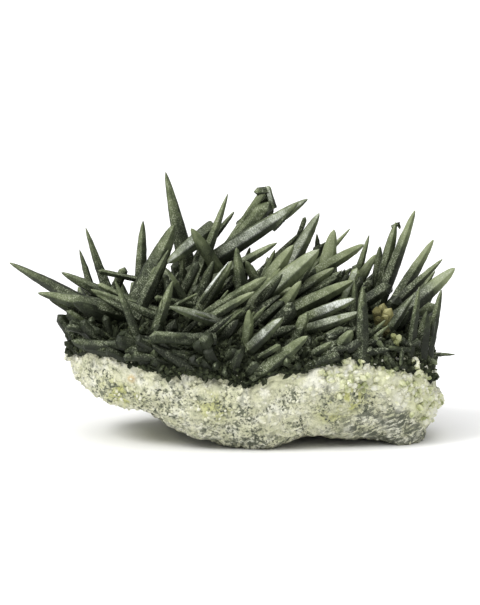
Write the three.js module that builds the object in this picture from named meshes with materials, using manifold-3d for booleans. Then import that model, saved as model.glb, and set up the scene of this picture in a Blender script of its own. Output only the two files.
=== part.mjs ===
// Chlorite quartz cluster: a thicket of dark green quartz crystals on a pale host rock.
// Millimetres, +Z up. Seen from the front, X runs to the right and Y runs away.
// The origin is on the resting surface, below the middle of the cluster.

import * as THREE from 'three';
import { mergeVertices } from 'three/addons/utils/BufferGeometryUtils.js';
import Module from 'manifold-3d';

const wasm = await Module();
wasm.setup();

// Driving dimensions
const VIEW_RISE = 0.2; // height that a millimetre of depth adds, seen from a little above
const GAP = 0.3; // clear space between neighbouring pieces
const CRUST_THICKNESS = 1.3; // green druse over the rock
const CRUST_STEP = 5.5;
const CORE_RISE = 4.4; // extra height of the druse where the crystals' feet crowd together
const CRUST_SPLIT = 27.9; // where the left thicket and the right spray part
const ROCK_ROUGHNESS = 0.55;
const CRUST_ROUGHNESS = 0.6;
const BELOW_SIZE = 200; // the block that cuts the rock flat
const LOOP_POINTS = 20;
const CRUST_LOOP_POINTS = 12;
const STOUT_WIDTH = 5; // spears from this width up get an extra band
const THIN_WIDTH = 3.1; // spears below this width are plain cones
const BACK_LIMIT = 21.5;
const TAPER_POWER = 0.6;
const GOLDEN_ANGLE = 137.5;
const GOLDEN_RATIO = 0.618;
const RING_START = 30; // a turned ring's first corner lies half a side past the direction across

// Crystals that grow by rule: least and most length, width and reach to the sides
const GROWN_LENGTH = [9, 22];
const GROWN_WIDTH = [2.8, 4.8];
const GROWN_SIDES = [-37, 41];
const GROWN_SPEARS = 0.6; // share of them that are spears
const FAN_ACROSS = 34; // distance from the middle at which they lean by about 45 degrees
const FAN_DEEP = 15;

// Quartz grains along the front right edge
const QUARTZ_ROWS = 2;
const QUARTZ_ROW_HEIGHT = 2.7;
const QUARTZ_SPACING = 4.4;
const QUARTZ_FROM = 15;
const QUARTZ_TO = 38.4;
const QUARTZ_BAND_STEP = 4.68;
const QUARTZ_BAND_POINTS = 8;
const QUARTZ_BAND_INSET = 0.9; // from the rock's front face back to the band's
const QUARTZ_ROUGHNESS = 0.2;
const QUARTZ_TOP = 1.4; // below the rock's rim
const QUARTZ_SIZE = [1.5, 2.1];
const QUARTZ_SCATTER = 0.6;

// Rock sections from left to right: [x, front low, back low, rim height, crown height, front, back]
const ROCK_SECTIONS = [
  [-32.6, 15.2, 14.6, 17.4, 17.9, -3.5, 4],
  [-31.4, 12.5, 11.0, 18.0, 18.8, -6.5, 7],
  [-29, 10.8, 9.0, 18.6, 19.8, -9.5, 10],
  [-25, 8.6, 6.5, 18.9, 21.0, -12.8, 13],
  [-20.5, 7.4, 4.5, 17.2, 21.5, -15.4, 15.5],
  [-16, 7.0, 2.5, 16.4, 22.0, -17.0, 17.5],
  [-12, 4.9, -0.9, 16.0, 22.3, -17.8, 18.6],
  [-8, 2.9, -1.0, 15.9, 22.5, -18.2, 19],
  [-4, 1.4, -1.1, 15.6, 22.6, -18.5, 19.2],
  [0, 0.2, -1.0, 14.7, 22.6, -18.6, 19.3],
  [3.5, -0.9, -1.0, 13.4, 22.6, -18.6, 19.2],
  [7, -0.8, -0.8, 15.4, 22.6, -18.4, 19],
  [10, 1.1, 0.6, 16.6, 22.6, -18.1, 18.8],
  [14, 1.5, 1.4, 16.2, 22.5, -17.8, 18.4],
  [18, 1.8, 1.9, 18.0, 22.4, -17.4, 18],
  [22, 1.9, 1.9, 18.6, 22.0, -16.8, 17.4],
  [26, 1.7, 1.4, 18.4, 21.2, -16.0, 16.4],
  [30, 1.1, 0.7, 16.8, 20.0, -14.9, 15.2],
  [33, -0.8, -0.8, 15.6, 18.8, -13.6, 13.6],
  [36, -0.9, -0.9, 15.2, 17.4, -12.0, 11.6],
  [38.4, 1.2, 1.0, 14.2, 15.4, -10.0, 9.4],
  [40.2, 4.4, 4.6, 12.0, 12.6, -7.5, 7],
  [41.2, 6.5, 6.8, 9.6, 9.8, -4.0, 4],
];

// Highest line that crystals behind the front ones reach, seen from the front: [x, height]
const SKYLINE = [
  [-44, 24], [-38, 27], [-30, 31], [-20, 31.5], [-15, 37], [-8, 39.5], [0, 38], [8, 41],
  [14, 40], [20, 38], [28, 36], [34, 35], [40, 31], [44, 26],
];

// Crystals: the tip and the foot are [x, height as seen from the front, depth], then the width.
// A spear tapers all the way, a lance keeps its width longer, a blade is flattened too, and a
// stub ends bluntly.
const spear = (tip, foot, width, turn = null) => ({ tip, foot, width, flat: 0.95, fullness: 1.5, turn });
const lance = (tip, foot, width, turn = null) => ({ tip, foot, width, flat: 0.92, fullness: 2.4, turn });
const blade = (tip, foot, width, turn = null) => ({ tip, foot, width, flat: 0.68, fullness: 2.4, turn });
const stub = (tip, foot, width, turn = null) => ({ tip, foot, width, flat: 0.92, fullness: 6, turn });

const LEFT_SPEARS = [
  spear([-44.6, 35.2, 2], [-21.4, 21.4, 2], 4.2, 30),
  spear([-38.8, 29.0, -6], [-13.6, 22.7, -5], 5.6, 30),
  spear([-36.4, 27.6, -5], [-23.4, 20.8, -4], 2.4),
  lance([-34.2, 33.2, 3], [-16.6, 24.2, 3], 3.3),
  spear([-30.6, 37.9, 6], [-25.7, 20.4, 4], 2.3),
  spear([-29.4, 42.4, 9], [-22.2, 22.0, 6], 2.9, 30),
  stub([-26.8, 33.5, -1], [-15, 31.0, 2], 1.6),
  stub([-21.4, 34.3, 1], [-25.4, 25.5, 2], 2.1),
  lance([-17.8, 43.7, 4], [-18.2, 21.4, 1], 3.0, 30),
  lance([-23.2, 31.6, -15], [-17.0, 14.8, -14], 2.0, 30),
  stub([-28.1, 29.7, -8], [-14.4, 23.7, -7], 2.0),
  spear([-27, 28.6, -9], [-18.4, 23.9, -8], 2.0),
  stub([-26.8, 30.8, -4], [-17, 26, -5], 1.5),
  stub([-20.8, 27.6, -6], [-6.4, 21, -4], 2.8),
];

const LEFT_STUBS = [
  stub([-34.8, 24.6, -5], [-30, 17.8, -5], 2.4),
  stub([-33.1, 25.4, -7], [-26, 21, -6], 2.0),
  stub([-27.8, 24.2, -10], [-29, 16.6, -8], 1.6),
  stub([-25.4, 24.5, -11], [-23.6, 18, -9], 1.9),
  stub([-27, 21.4, -12.5], [-26.6, 20, -6], 2.0),
  stub([-25.6, 17.3, -14], [-23.8, 19.6, -8], 1.8),
  stub([-21.6, 20.6, -15.5], [-21, 18.4, -9], 2.8),
  stub([-17.8, 21.4, -15], [-17.4, 19, -8], 1.4),
];

const MIDDLE_SPIRES = [
  spear([-13.3, 53.7, 6], [-5.8, 21.4, 2], 4.7, 30),
  blade([-11.4, 42.9, 0], [-21.4, 21.8, -3], 5.0, 30),
  blade([-12.9, 34.9, -9], [-3.8, 42.3, -2.5], 3.2),
  stub([-8.1, 42.0, -5], [-1.8, 31.8, 0], 2.8),
  spear([-0.8, 49.2, -1], [-10.2, 22.4, -2], 3.4, 30),
  stub([0.5, 45.6, 1], [-6.6, 36.4, 1], 1.5),
  stub([-5, 40.6, 2], [-9.4, 23.5, 0], 4.2),
  spear([-9.8, 37.1, -3], [-10.4, 25.6, -2], 1.8),
  spear([-12.6, 37.8, -5], [-19.8, 22.4, -6], 3.4),
  spear([-12.7, 33.8, -10], [-7.4, 23.9, -7], 2.3),
  lance([-11.7, 31.4, -14], [-16.2, 17.2, -12], 2.7, 30),
  spear([-6.8, 28.9, -13], [-14.4, 24.5, -8], 1.6),
  blade([-12.4, 26.2, -17], [2.6, 21.4, -10], 2.7),
  stub([-15.4, 28, -12], [-3.8, 25.9, -6], 1.4),
  stub([-16.4, 20.2, -16], [-3.4, 19.4, -9], 2.9),
  stub([-5.4, 18.9, -20], [-4, 20.4, -9], 3.8),
  stub([-15.4, 16.7, -18.5], [-15, 18, -9], 2.4),
  stub([-13.8, 16.3, -18.5], [-7, 16, -12], 1.9),
  stub([-7, 15.1, -20], [-3.6, 17.3, -14], 1.0),
  stub([-1.5, 12.5, -20.5], [-1, 14.5, -15], 1.4),
  stub([-3.4, 13.9, -20.5], [-2.4, 15, -15], 1.9),
];

const CENTRE_BLADES = [
  stub([6.2, 50.3, 5], [-0.8, 38.6, 4.5], 1.7),
  stub([4.5, 49.5, 4.6], [8.0, 50.1, 5], 1.5),
  lance([7.4, 47.4, 4], [-11.4, 23, 4], 4.1, 0),
  stub([7.6, 43.5, 4.4], [8.1, 50.0, 4.9], 1.3),
  blade([15.2, 48.1, 2], [-8.4, 32.5, -1], 3.8, 30),
  spear([13.3, 47.5, 1], [8, 42, 1.2], 1.5),
  stub([9, 39.2, -3], [-7.4, 29, -3], 2.4),
  lance([0.9, 38.3, -8], [3, 22.4, -6], 3.4, 30),
  blade([0, 35.5, -9], [-8, 23.1, -8], 3.0),
  stub([2.7, 35.5, -6], [7.2, 27.1, -5], 2.5),
  lance([8.6, 37.8, -3], [3.6, 25.5, -3], 2.0),
  stub([14.7, 44.5, 3.5], [13.0, 39.6, 3.4], 1.2),
  spear([14.2, 41.8, 3.4], [-1.4, 25.2, 2.6], 2.9),
  lance([17.5, 45.3, 3], [6.6, 25.6, 0], 3.8, 30),
  spear([17, 41.1, 5.4], [17.4, 37.2, 5], 1.1),
  spear([18.6, 39.6, 4.6], [17.2, 37.4, 5], 1.0),
  spear([15.6, 38.6, 5], [17.6, 37.4, 5], 0.9),
  stub([17.4, 38.4, 5], [15.4, 25, 4], 1.6),
  blade([12.3, 38.8, -4], [1.6, 23.1, -5], 4.0, 30),
  blade([17.4, 37.9, -6], [0.6, 22.4, -7], 5.5, 30),
  spear([17.4, 37.4, -3.4], [9.6, 24.6, -4], 2.2),
  blade([13.8, 31.4, -9], [6.2, 20.4, -9], 3.0),
  stub([7, 32.2, -11], [-8.4, 21.8, -10], 3.4),
  stub([4.5, 29.2, -14], [-6.4, 22.4, -12], 2.1),
  spear([2.2, 25.5, -15], [-4.4, 19.8, -12], 1.5),
  stub([3.5, 25.6, -16.5], [2.6, 16.6, -14], 2.2),
  spear([6.8, 26.3, -14], [-0.4, 18.4, -12], 2.2),
  stub([10, 24.0, -17.5], [2.2, 16.3, -15], 3.0),
  stub([15, 20.3, -19], [4, 11.4, -17], 2.9),
  blade([24.2, 31.5, -6], [7.6, 23.2, -9], 3.7, 30),
  stub([14.8, 25.0, -14.5], [11, 15.9, -14], 2.6),
  stub([9.6, 18.5, -19.5], [5.2, 15.7, -16], 1.7),
  stub([1.8, 17.6, -19.5], [0.2, 12.9, -17], 2.0),
  stub([5, 14.9, -20.5], [2.6, 12, -16], 2.0),
  stub([11, 14.9, -20], [10.6, 15.5, -14], 2.0),
  stub([13, 14.9, -18.8], [13.2, 12.6, -16], 1.8),
];

const RIGHT_CENTRE_BLADES = [
  blade([20.4, 42, 2], [17, 24.5, 1], 4.0, 10),
  spear([23.8, 42.3, 4], [10, 27.6, 2.2], 2.2),
  stub([26.4, 38.9, 2], [13.6, 31, 1], 2.8),
  spear([27.5, 40.9, 6], [22.6, 24, 4], 2.4),
  blade([28.8, 36.9, 5], [21.6, 25.6, 3], 2.8),
  stub([20.4, 34.1, -3], [6.6, 24.9, -4], 2.8),
  stub([25, 34.1, -2], [21.4, 25, -2], 2.0),
  blade([24.4, 27.8, -12], [12.6, 23.1, -10], 3.0, 30),
  lance([25.8, 25.1, -14], [12.6, 20.6, -11], 3.0),
  lance([26, 30.2, -9], [25.6, 16.3, -9.5], 2.8, 30),
  spear([24.4, 32, -6], [24.4, 18.4, -7], 2.4),
  stub([24, 21.4, -16.5], [19.6, 14.7, -13], 3.4),
  spear([30.4, 23.5, -15], [25.6, 18.4, -12.4], 1.5),
  spear([31, 22.4, -15.6], [25.4, 17.6, -13], 1.4),
];

const DARK_BACKING = [
  stub([-2.6, 37, 4], [-8, 22, 3], 4),
  spear([3.6, 38.4, 5.6], [0, 22, 4], 3.6),
  spear([10, 37.6, 5], [4.6, 22, 3], 3.6),
  spear([13.8, 38.2, 7], [9, 24, 5], 3.2),
  spear([-15.6, 38, 3.4], [-13.6, 22, 2], 3.2),
  spear([20, 36.6, 6], [17.6, 22, 5.6], 3),
  spear([-22.6, 32, 5], [-19, 21, 4], 2.6),
];

const RIGHT_SPRAY = [
  lance([32.6, 43.4, 9], [28.8, 22.5, 7], 3.6, 30),
  lance([29.8, 39.4, 8], [28.8, 22, 6], 3.0),
  lance([36.7, 45.8, 7], [28.9, 24.6, 4], 3.3, 30),
  lance([40.3, 39.9, 3], [29.8, 21.8, 1], 3.1, 30),
  spear([42.1, 35.9, 0], [30.2, 24.2, -1], 2.8, 30),
  spear([40.6, 33.5, -1.6], [36, 26.9, -3.4], 1.6),
  lance([44.4, 34.1, -3], [31, 22.4, -4], 4.0, 30),
  spear([36.2, 28.6, -7.5], [31, 20.5, -6], 2.4, 30),
  lance([37.2, 30.3, -11.5], [35.2, 14.3, -10.5], 1.7, 30),
  lance([41.7, 29.7, -6], [38.4, 13.6, -5.6], 2.4, 30),
  blade([38.6, 25.4, -8.5], [36.6, 13.6, -7.5], 2.9),
  spear([44.6, 16.4, -4], [36.6, 16.4, -4], 1.3),
  stub([39.8, 12.6, -9.5], [37, 14.2, -6.5], 1.4),
  stub([41.0, 14.4, -7.5], [37.2, 16.2, -6], 1.6),
  stub([30.4, 18.2, -13.6], [35.6, 16.4, -9.5], 1.6),
  stub([33.0, 20.4, -12.6], [34.4, 17, -9.5], 2.1),
  stub([32.6, 13.4, -15.2], [32.4, 16, -9.5], 1.5),
  stub([30.2, 15.6, -15.6], [31, 16.8, -9.5], 1.6),
];

const ROSETTE_ROOT = [29.9, 18.2, -8.4];
const TAN_ROSETTE = [
  stub([28.6, 25.6, -9.8], ROSETTE_ROOT, 1.6),
  stub([31.0, 26.0, -9.4], ROSETTE_ROOT, 2.2),
  stub([30.2, 24.6, -10.8], ROSETTE_ROOT, 1.9),
  stub([28.5, 23.4, -11.0], ROSETTE_ROOT, 1.5),
  stub([30.8, 22.6, -10.6], ROSETTE_ROOT, 1.9),
];

// Stretches of the crown behind the front crystals, where more of them grow outward: the ends along
// x, and the shares of the rock's depth there between which they stand
const BACK_GROWTH = { seed: 9, count: 25, left: -29, right: 25, nearest: 0.18, farthest: 0.88 };
const RIGHT_BACK_GROWTH = { seed: 23, count: 7, left: 30, right: 36, nearest: 0.1, farthest: 0.75 };

/** Repeatable random numbers from 0 to 1. */
function randomStream(seed) {
  let state = seed;
  return () => {
    state = (Math.imul(state, 1664525) + 1013904223) >>> 0;
    return state / 2 ** 32;
  };
}

/** The value of a polyline given as [x, value] rows. */
function valueAt(rows, x, column = 1) {
  const last = rows.length - 1;
  if (x <= rows[0][0]) return rows[0][column];
  if (x >= rows[last][0]) return rows[last][column];
  const next = rows.findIndex((row) => row[0] > x);
  const [before, after] = [rows[next - 1], rows[next]];
  return THREE.MathUtils.mapLinear(x, before[0], after[0], before[column], after[column]);
}

/** The rock's section at x, as named heights and depths. */
function sectionAt(x) {
  const [frontLow, backLow, rim, crown, front, back] = [1, 2, 3, 4, 5, 6].map(
    (column) => valueAt(ROCK_SECTIONS, x, column),
  );
  return { x, frontLow, backLow, rim, crown, front, back };
}

/** The height of the rock's top at a point. */
function topHeight(x, y) {
  const { rim, crown, front, back } = sectionAt(x);
  const reach = Math.min(1, Math.abs(y / (y < 0 ? front : back)));
  return crown - (crown - rim) * reach ** 2;
}

/** A closed solid of the library that joins and cuts, from any closed geometry. */
function solidFrom(geometry) {
  const bare = geometry.clone();
  bare.deleteAttribute('normal');
  bare.deleteAttribute('uv');
  const merged = mergeVertices(bare, 1e-4);
  return new wasm.Manifold(new wasm.Mesh({
    numProp: 3,
    vertProperties: merged.attributes.position.array,
    triVerts: new Uint32Array(merged.index.array),
  }));
}

/** All solids joined into one. */
function joined(solids) {
  return solids.reduce((whole, solid) => whole.add(solid));
}

/** The largest body of a solid, with small loose bits and closed pockets left out. */
function mainBody(solid) {
  return solid.decompose().reduce((best, body) => (body.volume() > best.volume() ? body : best));
}

/** A solid through a row of closed loops, each with the same number of points. */
function loft(loops) {
  const count = loops[0].length;
  const middles = [loops[0], loops[loops.length - 1]].map((loop) => {
    const sum = loop.reduce((total, point) => total.add(point), new THREE.Vector3());
    return sum.divideScalar(count);
  });
  const points = [...loops.flat(), ...middles];
  const startMiddle = points.length - 2;
  const endMiddle = points.length - 1;
  const endRow = (loops.length - 1) * count;
  const index = [];
  for (let k = 0; k < count; k += 1) {
    const next = (k + 1) % count;
    index.push(startMiddle, k, next);
    index.push(endMiddle, endRow + next, endRow + k);
    for (let row = 0; row < endRow; row += count) {
      index.push(row + k, row + count + k, row + count + next);
      index.push(row + k, row + count + next, row + next);
    }
  }
  const geometry = new THREE.BufferGeometry().setFromPoints(points);
  geometry.setIndex(index);
  return solidFrom(geometry);
}

/** A smooth closed loop at x through [depth, height] points, roughened and then grown outward. */
function sectionLoop(x, outline, count, roughness, random, grow = 0) {
  const curve = new THREE.CatmullRomCurve3(
    outline.map(([y, z]) => new THREE.Vector3(x, y, z)),
    true,
    'centripetal',
  );
  const loop = curve.getPoints(count).slice(0, count);
  const middle = loop.reduce((total, point) => total.add(point), new THREE.Vector3());
  middle.divideScalar(count);
  return loop.map((point) => {
    const outward = point.clone().sub(middle).normalize();
    return point.addScaledVector(outward, roughness * (random() * 2 - 1) + grow);
  });
}

/** The host rock, cut flat where it stands. */
function rockSolid(grow = 0) {
  const random = randomStream(5);
  const lastX = ROCK_SECTIONS[ROCK_SECTIONS.length - 1][0];
  const loops = ROCK_SECTIONS.map(([x]) => {
    const { frontLow, backLow, rim, crown, front, back } = sectionAt(x);
    const shoulder = THREE.MathUtils.lerp(rim, crown, 0.6);
    const outline = [
      [front * 0.68, frontLow],
      [front * 0.96, THREE.MathUtils.lerp(frontLow, rim, 0.45)],
      [front, rim - 0.5],
      [front * 0.7, shoulder],
      [0, crown],
      [back * 0.7, shoulder],
      [back, rim - 0.8],
      [back * 0.97, THREE.MathUtils.lerp(backLow, rim, 0.45)],
      [back * 0.7, backLow],
      [0, (frontLow + backLow) / 2],
    ];
    const grownX = x + grow * (x === lastX ? 1 : 0) - grow * (x === ROCK_SECTIONS[0][0] ? 1 : 0);
    return sectionLoop(grownX, outline, LOOP_POINTS, ROCK_ROUGHNESS, random, grow);
  });
  const below = new THREE.BoxGeometry(BELOW_SIZE, BELOW_SIZE, BELOW_SIZE);
  below.translate(0, 0, -BELOW_SIZE / 2 - grow);
  return loft(loops).subtract(solidFrom(below));
}

/** The green druse that covers the rock's top between two places along x. */
function crustSolid(fromX, toX, seed, grow = 0) {
  const random = randomStream(seed);
  const steps = Math.round((toX - fromX) / CRUST_STEP);
  const loops = [];
  for (let i = 0; i <= steps; i += 1) {
    const x = THREE.MathUtils.lerp(fromX - grow, toX + grow, i / steps);
    const { rim, crown, front, back } = sectionAt(x);
    const shoulder = THREE.MathUtils.lerp(rim, crown, 0.6) + CRUST_THICKNESS;
    const outline = [
      [front * 0.55, rim - 2.5],
      [front - 0.5, rim - 1.1],
      [front * 0.96, rim + CRUST_THICKNESS],
      [front * 0.64, shoulder + CORE_RISE * 0.6],
      [0, crown + CRUST_THICKNESS + CORE_RISE],
      [back * 0.64, shoulder + CORE_RISE * 0.6],
      [back * 0.96, rim + CRUST_THICKNESS],
      [back + 0.5, rim - 1.3],
      [back * 0.55, rim - 2.5],
      [0, crown - 4],
    ];
    loops.push(sectionLoop(x, outline, CRUST_LOOP_POINTS, CRUST_ROUGHNESS, random, grow));
  }
  return loft(loops);
}

/** A point from [x, height as seen from the front, depth]. */
function placed([x, seenHeight, depth]) {
  return new THREE.Vector3(x, depth, seenHeight - VIEW_RISE * depth);
}

/** Where along its length a crystal's taper changes. */
function taperStations(width, fullness) {
  if (width >= STOUT_WIDTH) return [0, 0.6, 0.87];
  return width < THIN_WIDTH && fullness < 2 ? [0] : [0, 0.78];
}

/** A six-sided crystal that tapers from its foot to its tip. */
function crystalSolid({ tip, foot, width, flat, fullness, turn }, order, grow = 0) {
  const [tipPoint, footPoint] = [placed(tip), placed(foot)];
  const length = tipPoint.distanceTo(footPoint) + grow;
  const stations = taperStations(width, fullness);
  const radius = width / 2 + grow;
  const profile = [
    new THREE.Vector2(0, -grow),
    ...stations.map((t) => new THREE.Vector2(radius * (1 - t ** fullness) ** TAPER_POWER, t * length)),
    new THREE.Vector2(0, length),
  ];
  profile[1].y = -grow;
  const geometry = new THREE.LatheGeometry(profile, 6);
  geometry.rotateX(Math.PI / 2);
  const angle = turn === null ? order * GOLDEN_ANGLE : turn;
  geometry.rotateZ(THREE.MathUtils.degToRad(angle - RING_START));
  geometry.scale(1, flat, 1);
  const axis = tipPoint.clone().sub(footPoint).normalize();
  const away = new THREE.Vector3(0, 1, 0);
  const across = new THREE.Vector3().crossVectors(away, axis);
  if (across.length() < 0.2) across.set(1, 0, 0).cross(axis);
  across.normalize();
  const depth = new THREE.Vector3().crossVectors(axis, across);
  geometry.applyMatrix4(new THREE.Matrix4().makeBasis(across, depth, axis).setPosition(footPoint));
  return solidFrom(geometry);
}

/** Crystals that fan outward from the crown of the rock, under the skyline of the front ones. */
function grownCrystals({ seed, count, left, right, nearest, farthest }) {
  const random = randomStream(seed);
  const between = ([low, high]) => THREE.MathUtils.lerp(low, high, random());
  const crystals = [];
  for (let i = 0; i < count; i += 1) {
    const x = THREE.MathUtils.lerp(left, right, (i + random()) / count);
    const share = THREE.MathUtils.lerp(nearest, farthest, (i * GOLDEN_RATIO + 0.2 * random()) % 1);
    const y = sectionAt(x).back * share;
    const z = topHeight(x, y) - 1;
    const lean = new THREE.Vector3(x / FAN_ACROSS + random() - 0.5, y / FAN_DEEP + random() - 0.5, 1.1);
    const tip = new THREE.Vector3(x, y, z).addScaledVector(lean.normalize(), between(GROWN_LENGTH));
    const seenHeight = Math.min(tip.z + VIEW_RISE * tip.y, valueAt(SKYLINE, tip.x) - 2 * random());
    const depth = Math.min(tip.y, BACK_LIMIT - 0.6 * random());
    const side = THREE.MathUtils.clamp(tip.x, ...GROWN_SIDES);
    const shape = random() < GROWN_SPEARS ? spear : stub;
    crystals.push(shape([side, seenHeight, depth], [x, z + VIEW_RISE * y, y], between(GROWN_WIDTH)));
  }
  return crystals;
}

/** The left and middle crystals with the druse that they grow from. */
function thicketSolid(grow = 0) {
  const crystals = [
    ...LEFT_SPEARS, ...LEFT_STUBS, ...MIDDLE_SPIRES, ...CENTRE_BLADES, ...RIGHT_CENTRE_BLADES,
    ...DARK_BACKING,
    ...grownCrystals(BACK_GROWTH),
  ];
  const crust = crustSolid(-32.2, CRUST_SPLIT - GAP / 2, 11, grow);
  return joined([crust, ...crystals.map((crystal, i) => crystalSolid(crystal, i, grow))]);
}

/** The right-hand crystals with their own druse. */
function spraySolid(grow = 0) {
  const crystals = [...RIGHT_SPRAY, ...grownCrystals(RIGHT_BACK_GROWTH)];
  const crust = crustSolid(CRUST_SPLIT + GAP / 2, 39.8, 17, grow);
  return joined([crust, ...crystals.map((crystal, i) => crystalSolid(crystal, i, grow))]);
}

/** The small tan crystals that stand between the two green groups. */
function rosetteSolid(grow = 0) {
  return joined(TAN_ROSETTE.map((crystal, i) => crystalSolid(crystal, i, grow)));
}

/** The band of quartz on the rock's front face that ties the grains together. */
function quartzBandSolid() {
  const random = randomStream(31);
  const loops = [];
  for (let x = QUARTZ_FROM; x <= QUARTZ_TO; x += QUARTZ_BAND_STEP) {
    const { rim, front } = sectionAt(x);
    const lower = rim - 2 - QUARTZ_ROW_HEIGHT * QUARTZ_ROWS;
    const outline = [
      [front * 0.7, lower],
      [front * 0.95 - QUARTZ_BAND_INSET, lower],
      [front - QUARTZ_BAND_INSET, (lower + rim) / 2],
      [front - QUARTZ_BAND_INSET, rim - QUARTZ_TOP],
      [front * 0.7, rim - QUARTZ_TOP],
    ];
    loops.push(sectionLoop(x, outline, QUARTZ_BAND_POINTS, QUARTZ_ROUGHNESS, random));
  }
  return loft(loops);
}

/** The knobbly rim of milky quartz grains along the right of the rock's front edge. */
function quartzRimSolid() {
  const random = randomStream(29);
  const scattered = () => QUARTZ_SCATTER * (random() - 0.5);
  const grains = [quartzBandSolid()];
  for (let row = 0; row < QUARTZ_ROWS; row += 1) {
    for (let x = QUARTZ_FROM + 0.5 + row; x < QUARTZ_TO; x += QUARTZ_SPACING) {
      const { rim, front } = sectionAt(x);
      const grain = new THREE.IcosahedronGeometry(THREE.MathUtils.lerp(...QUARTZ_SIZE, random()), 0);
      grain.rotateX(random() * Math.PI);
      grain.rotateZ(random() * Math.PI);
      grain.scale(1, 0.8, 1);
      const height = rim - QUARTZ_TOP - QUARTZ_ROW_HEIGHT * row;
      grain.translate(x + scattered(), front * (0.985 - 0.012 * row) - 0.5, height + scattered());
      grains.push(solidFrom(grain));
    }
  }
  return joined(grains);
}

/** A named mesh of one finished solid. */
function meshOf(name, solid, colour, roughness) {
  const body = mainBody(solid).getMesh();
  const geometry = new THREE.BufferGeometry();
  geometry.setAttribute('position', new THREE.BufferAttribute(new Float32Array(body.vertProperties), 3));
  geometry.setIndex(new THREE.BufferAttribute(new Uint32Array(body.triVerts), 1));
  geometry.computeVertexNormals();
  const material = new THREE.MeshStandardMaterial({ color: colour, roughness, metalness: 0 });
  const mesh = new THREE.Mesh(geometry, material);
  mesh.name = name;
  return mesh;
}

const grownRock = rockSolid(GAP);
const grownThicket = thicketSolid(GAP);
const grownSpray = spraySolid(GAP);
const rock = rockSolid();
const thicket = thicketSolid().subtract(grownRock);
const spray = spraySolid().subtract(grownRock).subtract(grownThicket);
const rosette = rosetteSolid().subtract(grownRock).subtract(grownThicket).subtract(grownSpray);
const quartzRim = quartzRimSolid().subtract(grownRock).subtract(grownThicket)
  .subtract(grownSpray).subtract(rosetteSolid(GAP));

const cluster = new THREE.Group();
cluster.add(meshOf('matrix_rock', rock, 0xd2d1bd, 0.9));
cluster.add(meshOf('main_crystal_thicket', thicket, 0x4a5440, 0.6));
cluster.add(meshOf('right_crystal_spray', spray, 0x59634c, 0.6));
cluster.add(meshOf('pale_quartz_crust', quartzRim, 0xd9dcbb, 0.5));
cluster.add(meshOf('tan_crystal_rosette', rosette, 0xa89a72, 0.6));

export default cluster;
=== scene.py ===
"""Chlorite quartz cluster: dark green quartz crystals that fan out of a pale, granular host rock.

Sizes are in millimetres and meshes are made in metres. Seen from the front, X runs to the right,
Y runs away and Z runs up, from an origin on the resting surface below the middle of the cluster.
"""

from __future__ import annotations

import logging
import math
from collections.abc import Callable, Iterable
from dataclasses import dataclass, field
from enum import Enum
from functools import partial
from itertools import combinations

import bpy
import numpy as np
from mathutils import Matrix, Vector, noise


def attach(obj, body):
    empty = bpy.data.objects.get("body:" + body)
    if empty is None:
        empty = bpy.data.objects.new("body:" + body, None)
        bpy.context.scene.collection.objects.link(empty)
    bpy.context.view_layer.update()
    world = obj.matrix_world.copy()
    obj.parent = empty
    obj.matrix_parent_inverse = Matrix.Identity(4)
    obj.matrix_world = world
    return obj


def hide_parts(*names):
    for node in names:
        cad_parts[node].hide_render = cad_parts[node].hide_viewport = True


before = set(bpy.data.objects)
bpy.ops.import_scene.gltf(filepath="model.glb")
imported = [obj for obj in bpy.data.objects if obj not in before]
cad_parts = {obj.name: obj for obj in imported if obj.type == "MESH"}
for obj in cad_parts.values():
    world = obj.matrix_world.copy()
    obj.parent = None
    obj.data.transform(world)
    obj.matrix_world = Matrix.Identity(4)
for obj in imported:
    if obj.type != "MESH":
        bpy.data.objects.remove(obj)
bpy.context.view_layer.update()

LOG = logging.getLogger("cluster")
Point = tuple[float, float, float]
Colour = tuple[float, float, float]

MM = 0.001
PER_MM = 1 / MM
VIEW_RISE = 0.2  # height that a millimetre of depth adds, seen from a little above
GOLDEN_ANGLE = 137.5
TAPER_POWER = 0.6
STUB_TAPER = 0.14  # share of its width that a blunt crystal loses up to its end
BLUNT_FULLNESS = 5  # habits at least this full hardly taper
CRYSTAL_CREASE = 24  # degrees from which a crystal's edge is sharp
CRUST_THICKNESS = 1.3
CORE_RISE = 4.4  # how much the green crusts swell along their middle
CRUST_SPLIT = 27.9  # where along x the two green crusts part
GAP = 0.3
BACK_LIMIT = 21.5
FRONT_LIMIT = -20.2
DEPTH_ENDS = (-20.5, 21.48)  # depths past which every crystal is cut off
# Sides that face this direction are painted lighter and the others darker (painted light and shade), and
# they carry the painted highlights.
LIT_SIDE = np.array((-0.36, -0.66, 0.66))  # where most of the light comes from
LAYER_RISE = math.radians(21)  # slope of the rock's layers
QUARTZ_NODE = "pale_quartz_crust"
LEFT_STUB_PALING = 0.15
RIM = 3  # column of the rim's height in the rock's sections

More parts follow.
